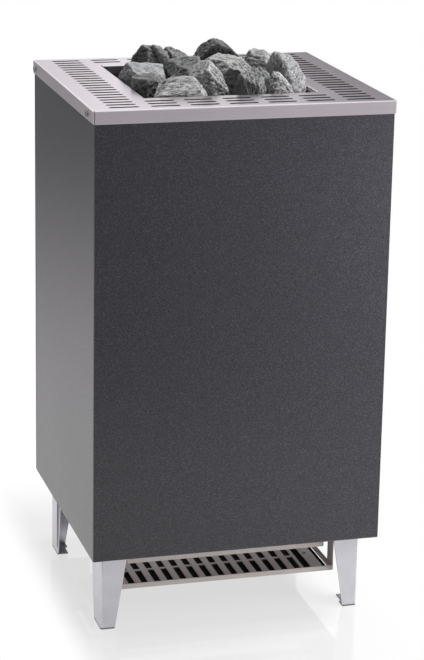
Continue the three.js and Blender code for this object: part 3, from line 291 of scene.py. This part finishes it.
# Near-black reflector pan under the tray: a dark sheet put in as painted shade, so the tray's slots show
# black
dark_steel = rough_coat(
    "dark_steel", shade(0.008, 0.008, 0.008), shade(0.02, 0.019, 0.018),
    roughness=0.6, scale=60, depth=0.2 * MM, gloss=0.1)
grate_iron = rough_coat(
    "grate_iron", shade(0.03, 0.028, 0.026), shade(0.075, 0.066, 0.058),
    roughness=0.55, scale=90, depth=0.4 * MM, metallic=0.6)
element_steel = rough_coat(
    "element_steel", shade(0.07, 0.072, 0.06), shade(0.15, 0.14, 0.115),
    roughness=0.38, scale=70, depth=0.1 * MM, metallic=0.85)
ceramic = rough_coat(
    "ceramic", shade(0.68, 0.65, 0.58), shade(0.8, 0.78, 0.73),
    roughness=0.42, scale=130, depth=0.1 * MM)
brass = rough_coat(
    "brass", shade(0.42, 0.27, 0.1), shade(0.56, 0.39, 0.17),
    roughness=0.28, scale=80, depth=0.05 * MM, metallic=1.0)
wire_sleeve = rough_coat(
    "wire_sleeve", shade(0.5, 0.47, 0.4), shade(0.68, 0.65, 0.58),
    roughness=0.7, scale=900, depth=0.2 * MM)
black_plastic = rough_coat(
    "black_plastic", shade(0.012, 0.012, 0.013), shade(0.022, 0.022, 0.023),
    roughness=0.4, scale=300, depth=0.1 * MM)

# Tones of a stone: its bloom and its crests (worn, with painted highlight), its ground, and its mottling and
# the painted shade of its hollows
PALE_ROCK = (shade(0.5, 0.498, 0.492), shade(0.33, 0.331, 0.33), shade(0.085, 0.086, 0.09))
DARK_ROCK = (shade(0.3, 0.301, 0.3), shade(0.115, 0.118, 0.122), shade(0.025, 0.027, 0.03))
MIST_ROCK = (shade(0.46, 0.461, 0.467), shade(0.36, 0.362, 0.37), shade(0.15, 0.152, 0.158))
# The darkest tones paint shade into the dark dome at the back, whose front falls in shadow
SOOT_ROCK = (shade(0.22, 0.22, 0.22), shade(0.07, 0.071, 0.073), shade(0.016, 0.017, 0.019))


# Pieces

def scene_object(name, mesh, finish):
    """A finished bmesh as an object of the scene."""
    data = bpy.data.meshes.new(name)
    mesh.to_mesh(data)
    mesh.free()
    data.materials.append(finish)
    made = bpy.data.objects.new(name, data)
    scene.collection.objects.link(made)
    return made


def piece(name, mesh, finish, body, slot, *stands_for):
    """A finished bmesh that rides on a CAD body and may stand for CAD nodes."""
    made = scene_object(name, mesh, finish)
    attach(made, body)
    if stands_for:
        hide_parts(*stands_for)
    return made


# Corners of CAD triangles nearer than this are one
WELD = 0.001 * MM


def welded(node):
    """A copy of a CAD node's mesh with its loose triangles joined."""
    mesh = bmesh.new()
    mesh.from_mesh(nodes[node].data)
    bmesh.ops.remove_doubles(mesh, verts=mesh.verts, dist=WELD)
    return mesh


# Sheets

# Rounding of edges: the usual, on the cover and legs, and where slots or notches leave little room
EASE, SMALL_EASE, LEAST_EASE = 0.3 * MM, 0.15 * MM, 0.1 * MM
EASE_STEPS = 2
# Edges shorter than this go before a punched sheet is rounded
SLIVER = 0.02 * MM
# The punched part of a sheet lies this far inside its box, and is this deep
CUT_MARGIN = 4 * MM
# A face whose normal rises less than this is a wall
WALL_RISE = 0.5
# Faces that meet at less than the first are one flat, and at less than the second they are one bend
FLAT_ANGLE = math.radians(2)
SHARP_ANGLE = math.radians(40)


def flat_areas(mesh):
    """For each face, the whole area of the flat that it is part of."""
    areas = {}
    for first in mesh.faces:
        if first in areas:
            continue
        flat, ahead = dict.fromkeys([first]), [first]
        while ahead:
            for edge in ahead.pop().edges:
                for face in edge.link_faces:
                    if face not in flat and edge.calc_face_angle(0) < FLAT_ANGLE:
                        flat[face] = None
                        ahead.append(face)
        areas.update(dict.fromkeys(flat, sum(face.calc_area() for face in flat)))
    return areas


def middle(edge):
    return (edge.verts[0].co + edge.verts[1].co) / 2


def eased(name, node, finish, body, slot, ease=EASE, cut_finish=None):
    """A CAD sheet piece with its edges rounded over and its bends shaded round.

    The walls of its punched top may have a near-black finish of their own, painted shade, and stay crisp.
    """
    mesh = welded(node)
    if cut_finish:
        bmesh.ops.dissolve_degenerate(mesh, dist=SLIVER, edges=mesh.edges)
    low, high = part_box(node)

    def punched(spot):
        return (cut_finish and spot.z > high.z - CUT_MARGIN
                and low.x + CUT_MARGIN < spot.x < high.x - CUT_MARGIN
                and low.y + CUT_MARGIN < spot.y < high.y - CUT_MARGIN)

    plain = [edge for edge in mesh.edges if not punched(middle(edge))]
    bmesh.ops.dissolve_limit(mesh, angle_limit=FLAT_ANGLE / 2, verts=[], edges=plain)
    # Where two faces meet in a bend, the one in the smaller flat shades round
    areas = flat_areas(mesh)
    for edge in mesh.edges:
        if FLAT_ANGLE < edge.calc_face_angle(0) < SHARP_ANGLE:
            least = min(areas[face] for face in edge.link_faces)
            for face in edge.link_faces:
                face.smooth = face.smooth or areas[face] == least
    sharp = [edge for edge in mesh.edges
             if edge.calc_face_angle(0) >= SHARP_ANGLE and not punched(middle(edge))]
    rounded = bmesh.ops.bevel(mesh, geom=sharp, offset=ease, offset_type="OFFSET", affect="EDGES",
                              segments=EASE_STEPS, profile=0.5, material=-1, clamp_overlap=False)
    for face in rounded["faces"]:
        face.smooth = True
    made = piece(name, mesh, finish, body, slot, node)
    if cut_finish:
        # The walls of the punched top take the near-black finish, painted shade inside the slots
        made.data.materials.append(cut_finish)
        for face in made.data.polygons:
            if punched(face.center) and abs(face.normal.z) < WALL_RISE:
                face.material_index = 1


# Name of the finished piece, CAD node, finish, body and record slot, and where they are not the usual ones
# the rounding of its edges and the near-black finish of its slot walls, painted shade
SHEETS = [
    ("cover_sheet", "top_cover", stainless, "cover", "stainless", SMALL_EASE, cut_edge),
    ("front_sheet", "front_panel", casing_paint, "casing", "casing_paint", LEAST_EASE),
    ("left_sheet", "left_panel", casing_paint, "casing", "casing_paint"),
    ("right_sheet", "right_panel", casing_paint, "casing", "casing_paint"),
    ("rear_sheet", "rear_panel", casing_paint, "casing", "casing_paint", LEAST_EASE),
    ("lid_sheet", "terminal_lid", casing_paint, "casing", "casing_paint"),
    ("frame_sheet", "intake_frame", tray_steel, "casing", "stainless"),
    ("tray_sheet", "intake_tray", tray_steel, "casing", "stainless", LEAST_EASE),
    ("chassis_sheet", "chassis_plate", zinc_steel, "casing", "zinc_steel"),
    ("chamber_sheet", "stone_chamber", hot_steel, "casing", "stainless"),
    ("shield_sheet", "heat_shield", hot_zinc, "casing", "zinc_steel"),
    # The reflector pan is near black, painted shade seen through the tray's slots
    ("reflector_sheet", "floor_reflector", dark_steel, "casing", "dark_steel"),
    ("box_sheet", "terminal_box", zinc_steel, "casing", "zinc_steel"),
]
for row in SHEETS:
    eased(*row)
for corner in CORNERS:
    eased(f"leg_sheet_{corner}", f"leg_{corner}", leg_steel, "casing", "leg_steel", SMALL_EASE)


# Screws

# Radii of the heads
SKIRT_SCREW, LID_SCREW = 4.3 * MM, 3.4 * MM
SKIRT_SCREW_GAP = 0.1 * MM
LID_SCREW_INSET = 7 * MM
HEAD_SIDES = 40
# Shares of a head's radius: radius and height of each loop from the seat up, and reach, half width and height
# of the mouth and the bottom of its recess
HEAD_LOOPS = [(0.98, 0.0), (1.0, 0.06), (1.0, 0.26), (0.96, 0.4), (0.87, 0.5), (0.74, 0.565), (0.64, 0.59)]
RECESS_LOOPS = [(0.55, 0.12, 0.6), (0.5, 0.1, 0.32)]
SEAT_RIM = 0.02


def ring(mesh, radius, height):
    """A loop of edges round the Z axis."""
    made = bmesh.ops.create_circle(mesh, radius=radius, segments=HEAD_SIDES)
    bmesh.ops.translate(mesh, verts=made["verts"], vec=(0, 0, height))
    return list(dict.fromkeys(edge for vert in made["verts"] for edge in vert.link_edges))


def cross(mesh, reach, half, height):
    """A loop of edges in the shape of a plus sign."""
    arm = [(reach, -half), (reach, half), (half, half)]
    verts = []
    for _ in range(4):
        verts += [mesh.verts.new((x, y, height)) for x, y in arm]
        arm = [(-y, x) for x, y in arm]
    return [mesh.edges.new((verts[i - 1], verts[i])) for i in range(len(verts))]


def pan_screw(name, seat, outwards, size, body, slot, finish, *stands_for):
    """A pan-head screw with a cross recess. Its head starts at the seat and points outwards."""
    mesh = bmesh.new()
    loops = [ring(mesh, radius * size, height * size) for radius, height in HEAD_LOOPS]
    mouth, bottom = (cross(mesh, *(share * size for share in shares)) for shares in RECESS_LOOPS)
    for lower, upper in zip(loops, loops[1:]):
        bmesh.ops.bridge_loops(mesh, edges=lower + upper)
    bmesh.ops.bridge_loops(mesh, edges=loops[-1] + mouth)
    bmesh.ops.bridge_loops(mesh, edges=mouth + bottom)
    bmesh.ops.edgeloop_fill(mesh, edges=loops[0])
    bmesh.ops.edgeloop_fill(mesh, edges=bottom)
    bmesh.ops.recalc_face_normals(mesh, faces=mesh.faces)
    for face in mesh.faces:
        face.smooth = face.normal.z > -WALL_RISE and face.calc_center_median().z > SEAT_RIM * size
    turn = UP.rotation_difference(Vector(outwards)).to_matrix().to_4x4()
    bmesh.ops.transform(mesh, matrix=Matrix.Translation(seat) @ turn, verts=mesh.verts)
    piece(name, mesh, finish, body, slot, *stands_for)


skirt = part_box("top_cover")[1].x
for corner in CORNERS:
    low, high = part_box(f"cover_screw_{corner}")
    side = 1 if "right" in corner else -1
    seat = (side * (skirt + SKIRT_SCREW_GAP), (low.y + high.y) / 2, (low.z + high.z) / 2)
    pan_screw(f"skirt_screw_{corner}", seat, (side, 0, 0), SKIRT_SCREW, "cover", "stainless", screw_steel,
              f"cover_screw_{corner}")

lid_low, lid_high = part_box("terminal_lid")
for corner in CORNERS:
    x = lid_high.x - LID_SCREW_INSET if "right" in corner else lid_low.x + LID_SCREW_INSET
    z = lid_high.z - LID_SCREW_INSET if "front" in corner else lid_low.z + LID_SCREW_INSET
    spot = corner.replace("front", "upper").replace("rear", "lower")
    seat = (x, lid_high.y, z)
    pan_screw(f"lid_screw_{spot}", seat, (0, 1, 0), LID_SCREW, "casing", "zinc_steel", zinc_steel)


# Stones

# How much fuller a stone is than its CAD lump before it is split
STONE_SWELL = 1.24
# Chance flats of a stone, and the shares of the lump's reach that they leave
STONE_CHIPS = 10
CHIP_SHARES = (0.8, 1.0)
# Each stone takes its unevenness from a place of its own in the noise
NOISE_PLACES = (0, 90)
# X and Y limits that keep the heap inside the opening of the cover
MOUTH = ((-117.5 * MM, 117.5 * MM), (-115.5 * MM, 126.5 * MM))
# Unevenness of a flat: its share of the reach, and its waves round the stone
FLAT_WAVE, FLAT_WAVES = 0.035, 3.5
# How steeply a slab rises at its rim, and how much paler it is
SLAB_RISE, SLAB_BLOOM = 3, 0.45
# Roughness: height and size in millimetres of swellings, of ridges along the grain and of grit
SWELLING_HEIGHT, SWELLING_SIZE = 1.2, 16
RIDGE_HEIGHT, RIDGE_SIZE, RIDGE_LEVEL = 1.6, 7, 0.3
GRIT_HEIGHT, GRIT_SIZE = 0.8, 3
GRIT_FADE, GRIT_STEP, GRIT_LAYERS = 0.7, 2.1, 2
GRAIN_SQUASH = 0.3
# The crest attribute, which pales crests as wear and painted highlight and paints shade into hollows: its
# level on a flat, its gain for each millimetre above the softened stone, and how often that one is softened
CREST_LEVEL, CREST_GAIN, CREST_ROUNDS = 0.5, 0.9, 6
# Patterns of the rock finishes are turned and shifted by this from stone to stone
ROCK_TURN = (0.7, 1.3, 2.1)
ROCK_SHIFT = (0.11, 0.07, 0.05)
# Subdivisions of a stone in the heap and of a buried one
HEAP_FINENESS, BURIED_FINENESS = 6, 5


def soften(mesh, rounds):
    """Moves every corner halfway to the middle of its neighbours, some times over."""
    for _ in range(rounds):
        bmesh.ops.smooth_vert(mesh, verts=mesh.verts, factor=0.5,
                              use_axis_x=True, use_axis_y=True, use_axis_z=True)


def random_turn(dice):
    heading = Matrix.Rotation(dice.uniform(0, math.tau), 3, "Z")
    return heading @ Matrix.Rotation(dice.uniform(0, math.pi), 3, "X")


def broken_stone(node, finish, flats, fineness, chips, slab):
    """A rough stone in the place of a faceted CAD lump: split along flats, then roughened along its grain.

    Each flat is the way it faces and its share of the lump's reach that way. The chips are flats by chance.
    A slab, which stands out of the front, has a middle, the way across it, half its width and its height.
    """
    dice = random.Random(node)
    lump = welded(node)
    tree = BVHTree.FromBMesh(lump)
    corners = [vert.co.copy() for vert in lump.verts]
    lump.free()
    centre = sum(corners, Vector()) / len(corners)
    away = Vector([dice.uniform(*NOISE_PLACES) for _ in range(3)])
    chance = [(*(random_turn(dice) @ UP), dice.uniform(*CHIP_SHARES)) for _ in range(chips)]

    # Planes that split the stone: the way each faces and how far it is from the centre
    splits = []
    for x, y, z, share in [*flats, *chance]:
        facing = Vector((x, y, z)).normalized()
        splits.append((facing, share * max((corner - centre).dot(facing) for corner in corners)))
    for side in (0, 1):
        for limit, sign in zip(MOUTH[side], (-1, 1)):
            facing = Vector((0, 0, 0))
            facing[side] = sign
            splits.append((facing, sign * (limit - centre[side])))

    paler = []
    stone = bmesh.new()
    bmesh.ops.create_icosphere(stone, subdivisions=fineness, radius=1)
    for vert in stone.verts:
        ray = vert.co.normalized()
        reach = STONE_SWELL * tree.ray_cast(centre, ray)[3]
        wave = 1 + FLAT_WAVE * noise.noise(FLAT_WAVES * ray + away)
        for facing, limit in splits:
            towards = ray.dot(facing)
            if towards * reach > limit * wave:
                reach = limit * wave / towards
        stand = 0.0
        if slab:
            heart, across, half, height = slab
            off = abs((centre + ray * reach - heart).dot(across)) / half
            stand = min(1, max(0, -SLAB_RISE * ray.y)) * min(1, max(0, SLAB_RISE * (1 - off)))
            reach += stand * height
        vert.co = centre + ray * reach
        paler.append(SLAB_BLOOM * stand)
    soften(stone, 1)

    stone.normal_update()
    grain = random_turn(dice)
    for vert in stone.verts:
        spot = vert.co / MM
        layered = grain @ spot
        layered.x *= GRAIN_SQUASH
        push = SWELLING_HEIGHT * noise.noise(spot / SWELLING_SIZE + away)
        push += RIDGE_HEIGHT * (RIDGE_LEVEL - abs(noise.noise(layered / RIDGE_SIZE + away)))
        push += GRIT_HEIGHT * noise.fractal(layered / GRIT_SIZE - away, GRIT_FADE, GRIT_STEP, GRIT_LAYERS)
        vert.co += vert.normal * (push * MM)

    # What stands above a softened copy is a crest, paled in the finish as wear and painted highlight, and
    # what stands below is a hollow, darkened as painted shade
    kept = [vert.co.copy() for vert in stone.verts]
    stone.normal_update()
    facings = [vert.normal.copy() for vert in stone.verts]
    soften(stone, CREST_ROUNDS)
    crest = [CREST_LEVEL + pale + CREST_GAIN * (was - vert.co).dot(out) / MM
             for was, vert, out, pale in zip(kept, stone.verts, facings, paler)]
    for vert, was in zip(stone.verts, kept):
        vert.co = was
    for face in stone.faces:
        face.smooth = True
    made = piece(node.replace("stone", "rock"), stone, finish, "casing", "stone", node)
    wear = made.data.attributes.new("crest", "FLOAT", "POINT")
    wear.data.foreach_set("value", crest)


# Stones that show: CAD node number, tones and the flats that face the front, the sides and the top
HEAP = [
    (7, MIST_ROCK, [(0.12, -0.22, 0.97, 0.6), (-0.2, -0.95, -0.25, 0.86), (-0.9, -0.3, 0.2, 0.97),
                    (0.8, -0.3, 0.5, 0.9)]),
    (8, DARK_ROCK, [(-0.1, -0.05, 0.99, 0.8), (0.2, -0.97, 0.1, 0.74), (-0.75, -0.65, 0.1, 0.9),
                    (0.7, -0.7, 0.1, 0.86)]),
    (9, DARK_ROCK, [(-0.75, -0.6, 0.25, 0.9), (0.1, -0.95, 0.25, 0.84), (0.9, -0.3, 0.3, 0.98),
                    (-0.3, -0.1, 0.95, 0.95)]),
    (10, DARK_ROCK, [(0.15, -0.3, 0.94, 0.92), (-0.1, -0.95, 0.25, 0.9), (0.75, -0.2, 0.63, 0.94),
                     (-0.9, -0.3, 0.3, 1.0)]),
    (11, DARK_ROCK, [(-0.68, -0.3, 0.65, 0.82), (0.15, -0.6, 0.8, 0.84), (0.8, -0.3, 0.5, 0.88),
                     (-0.3, -0.95, 0, 0.9)]),
    (12, PALE_ROCK, [(-0.05, -0.6, 0.8, 0.74), (-0.5, -0.2, 0.84, 0.8), (0.75, -0.3, 0.6, 0.84),
                     (0, -0.99, 0, 0.84)]),
    (13, PALE_ROCK, [(-0.5, -0.82, 0.28, 0.82), (0.6, -0.45, 0.66, 0.7), (-0.1, -0.2, 0.97, 0.94),
                     (0.15, -0.98, 0.1, 0.86)]),
    (14, SOOT_ROCK, [(0, -0.97, -0.22, 0.3), (0.1, 0.45, 0.88, 1.0), (-0.7, 0, 0.71, 0.84),
                     (0.68, 0, 0.73, 0.84), (-0.38, -0.1, 0.92, 0.9), (0.36, -0.1, 0.93, 0.9),
                     (0.98, -0.1, -0.1, 0.96)]),
    (15, PALE_ROCK, [(-0.4, -0.75, 0.52, 0.86), (0.55, -0.5, 0.66, 0.78), (0, -0.1, 0.99, 0.94),
                     (0.1, -0.98, -0.15, 0.66)]),
    (16, DARK_ROCK, [(-0.1, -0.99, 0.05, 0.86), (0.1, -0.3, 0.95, 0.86), (0.75, -0.6, 0.2, 0.84),
                     (-0.8, -0.5, 0.3, 0.86)]),
    (17, PALE_ROCK, [(0.1, -0.92, 0.38, 0.82), (-0.7, -0.4, 0.6, 0.86), (0.7, -0.4, 0.6, 0.84)]),
    (18, MIST_ROCK, [(0.14, -0.62, 0.77, 0.68), (-0.6, -0.5, 0.62, 0.88), (0.9, -0.1, 0.4, 0.92)]),
    (19, PALE_ROCK, [(-0.35, -0.85, 0.38, 0.82), (0.2, -0.2, 0.96, 0.86), (-0.8, 0, 0.6, 0.84),
                     (0.6, -0.7, 0.4, 0.88)]),
    (20, DARK_ROCK, [(0, -0.55, 0.83, 0.84), (-0.6, -0.6, 0.5, 0.88), (0.5, -0.85, 0, 0.84)]),
]
BURIED = [(number, DARK_ROCK, []) for number in range(1, 7)]
# The dark dome at the back has no chance flats, and a pale slab stands on the stone at the left rear
CHIPS = {14: 0}
SLABS = {9: (Vector((-50.5, 60, 751)) * MM, Vector((0.9, 0, 0.45)), 5.5 * MM, 6 * MM)}
for number, tones, flats in BURIED + HEAP:
    turn = tuple(step * number for step in ROCK_TURN)
    shift = tuple(step * number for step in ROCK_SHIFT)
    finish = broken_rock(f"rock_{number:02d}", *tones, turn, shift)
    broken_stone(f"stone_{number:02d}", finish, flats, HEAP_FINENESS if flats else BURIED_FINENESS,
                 CHIPS.get(number, STONE_CHIPS), SLABS.get(number))


# CAD nodes that show as they are

KEPT = {"stone_grate": grate_iron, "terminal_block": ceramic, "neutral_link": brass,
        "cable_gland": black_plastic, "gland_nut": black_plastic}
KEPT.update({f"heating_element_{i}": element_steel for i in (1, 2, 3)})
KEPT.update({f"phase_lead_{i}": wire_sleeve for i in (1, 2, 3)})
KEPT.update({f"{kind}_{corner}": zinc_steel for kind in ("leg_bolt", "tray_screw") for corner in CORNERS})
for name, finish in KEPT.items():
    nodes[name].data.materials.clear()
    nodes[name].data.materials.append(finish)


# Stage

IMAGE_LONG_SIDE = 660
FOCAL_PIXELS = 2303.6
CAMERA_PLACE = Vector((-0.8546, -3.0069, 1.2950))
CAMERA_YAW, CAMERA_PITCH, CAMERA_ROLL = (math.radians(angle) for angle in (16.082, 16.454, 1.069))
FAR_CLIP = 100
FLOOR_HALF = 40
# Where the floor's polish starts and ends to fade: squared distance from the middle, behind and before it
POLISH_ACROSS, POLISH_BEHIND, POLISH_BEFORE = (0.036, 0.06), (0.25, 0.45), (0.6, 1.0)
# A card starts one metre wide. Its green is a share of its red and blue, which gives the metal its faint pink
CARD_HALF = 0.5
CARD_GREEN = 0.97


def photo_camera():
    forward = Vector((math.sin(CAMERA_YAW) * math.cos(CAMERA_PITCH),
                      math.cos(CAMERA_YAW) * math.cos(CAMERA_PITCH), -math.sin(CAMERA_PITCH)))
    level = Vector((math.cos(CAMERA_YAW), -math.sin(CAMERA_YAW), 0))
    upright = level.cross(forward)
    right = math.cos(CAMERA_ROLL) * level + math.sin(CAMERA_ROLL) * upright
    up = right.cross(forward)
    data = bpy.data.cameras.new("photo_camera")
    data.lens = FOCAL_PIXELS * data.sensor_width / IMAGE_LONG_SIDE
    data.clip_end = FAR_CLIP
    camera = bpy.data.objects.new("photo_camera", data)
    scene.collection.objects.link(camera)
    turn = Matrix((right, up, -forward)).transposed().to_4x4()
    camera.matrix_world = Matrix.Translation(CAMERA_PLACE) @ turn
    scene.camera = camera


def seen_rays(finish):
    """1 where the camera, a mirror or glass looks straight at a surface, else 0."""
    camera = finish.node("ShaderNodeLightPath", out="Is Camera Ray")
    glossy = finish.node("ShaderNodeLightPath", out="Is Glossy Ray")
    through = finish.node("ShaderNodeLightPath", out="Is Transmission Ray")
    return camera + glossy + through


def studio_air(ambient):
    """White where it is seen, and a faint light from all around."""
    scene.world = bpy.data.worlds.new("studio_air")
    f = Finish(scene.world)
    strength = ambient + (1 - ambient) * seen_rays(f)
    air = f.node("ShaderNodeBackground", None, {"Color": shade(1, 1, 1), "Strength": strength})
    f.node("ShaderNodeOutputWorld", None, {"Surface": air})


def studio_floor(lift):
    """A wide pale floor, lifted towards white where it is seen, with a faint polish round the heater."""
    f = material("studio_floor")
    matt = f.node("ShaderNodeBsdfDiffuse", None, {"Color": shade(0.55, 0.55, 0.55)})
    white = f.node("ShaderNodeEmission", None, {"Color": shade(1, 1, 1)})
    polish = f.node("ShaderNodeBsdfAnisotropic", None, {"Color": shade(1, 1, 1), "Roughness": 0.05})
    across, along = f.axis("X"), f.axis("Y")
    near = (f.fade(across * across, *POLISH_ACROSS) * f.fade(along, *POLISH_BEHIND)
            * f.fade(-1 * along, *POLISH_BEFORE))
    seen = seen_rays(f)
    ground = f.node("ShaderNodeMixShader", None, {0: seen * (1 - (1 - lift) * near), 1: matt, 2: white})
    sheen = f.node("ShaderNodeFresnel", None, {"IOR": 1.42}) * near
    whole = f.node("ShaderNodeMixShader", None, {0: sheen, 1: ground, 2: polish})
    f.node("ShaderNodeOutputMaterial", None, {"Surface": whole})
    mesh = bmesh.new()
    bmesh.ops.create_grid(mesh, x_segments=1, y_segments=1, size=FLOOR_HALF)
    scene_object("studio_floor", mesh, f.owner)


def softbox(name, place, target, size, power):
    """A square lamp that mirrors do not see."""
    data = bpy.data.lights.new(name, "AREA")
    data.size = size
    data.energy = power
    lamp = bpy.data.objects.new(name, data)
    scene.collection.objects.link(lamp)
    lamp.location = place
    lamp.rotation_euler = (Vector(target) - Vector(place)).to_track_quat("-Z", "Y").to_euler()
    lamp.visible_glossy = False


def flag(name, low, high, axis, span, tones):
    """A card that only mirrors see. Its tone goes from the first to the last over a span of one axis."""
    f = material(name)
    first, last = (shade(tone, CARD_GREEN * tone, tone) for tone in tones)
    f.surface({"Base Color": shade(0, 0, 0), "Specular IOR Level": 0.0, "Emission Strength": 1.0,
               "Emission Color": f.blend(f.fade(f.axis(axis), *span), last, first)})
    mesh = bmesh.new()
    bmesh.ops.create_grid(mesh, x_segments=1, y_segments=1, size=CARD_HALF)
    size = Vector(high) - Vector(low)
    if size.z:
        upright = Matrix.Rotation(math.pi / 2, 3, "X" if size.x else "Y")
        bmesh.ops.rotate(mesh, verts=mesh.verts, matrix=upright)
    bmesh.ops.scale(mesh, verts=mesh.verts, vec=[extent or 1 for extent in size])
    bmesh.ops.translate(mesh, verts=mesh.verts, vec=(Vector(low) + Vector(high)) / 2)
    card = scene_object(name, mesh, f.owner)
    card.visible_camera = False
    card.visible_diffuse = False
    card.visible_shadow = False
    card.visible_transmission = False


photo_camera()
studio_air(ambient=0.1)
studio_floor(lift=0.78)
softbox("top_light", (2.2, 0.15, 4.2), target=(0, 0, 0.7), size=1.4, power=260)
softbox("side_light", (0.62, -0.52, 0.62), target=(0.05, -0.19, 0.45), size=0.4, power=6)
flag("front_card", (-1.2, -1.0, 0), (1.6, -1.0, 1.2), "X", span=(-0.1, 0.6), tones=(0.36, 0.555))
flag("right_card", (0.34, -0.1, 0.6), (0.34, 1.7, 1.3), "Z", span=(0.82, 1.2), tones=(0.2, 1.0))
flag("rear_card", (0.34, 1.7, 0.7), (0.34, 4.2, 2.0), "Y", span=(1.75, 2.5), tones=(1.0, 0.68))
flag("left_card", (-1.0, 0.6, 0.06), (-0.23, 0.6, 0.8), "Z", span=(0.05, 0.6), tones=(1.0, 0.27))
flag("tray_card", (-0.15, -0.06, 0.106), (0.15, 0.15, 0.106), "X", span=(-0.1, 0.12), tones=(0.54, 0.4))
flag("rear_leg_card", (-0.195, 0.125, 0.01), (-0.135, 0.125, 0.085), "X", span=(-0.2, -0.13),
     tones=(0.18, 0.18))
scene.view_settings.view_transform = "Standard"
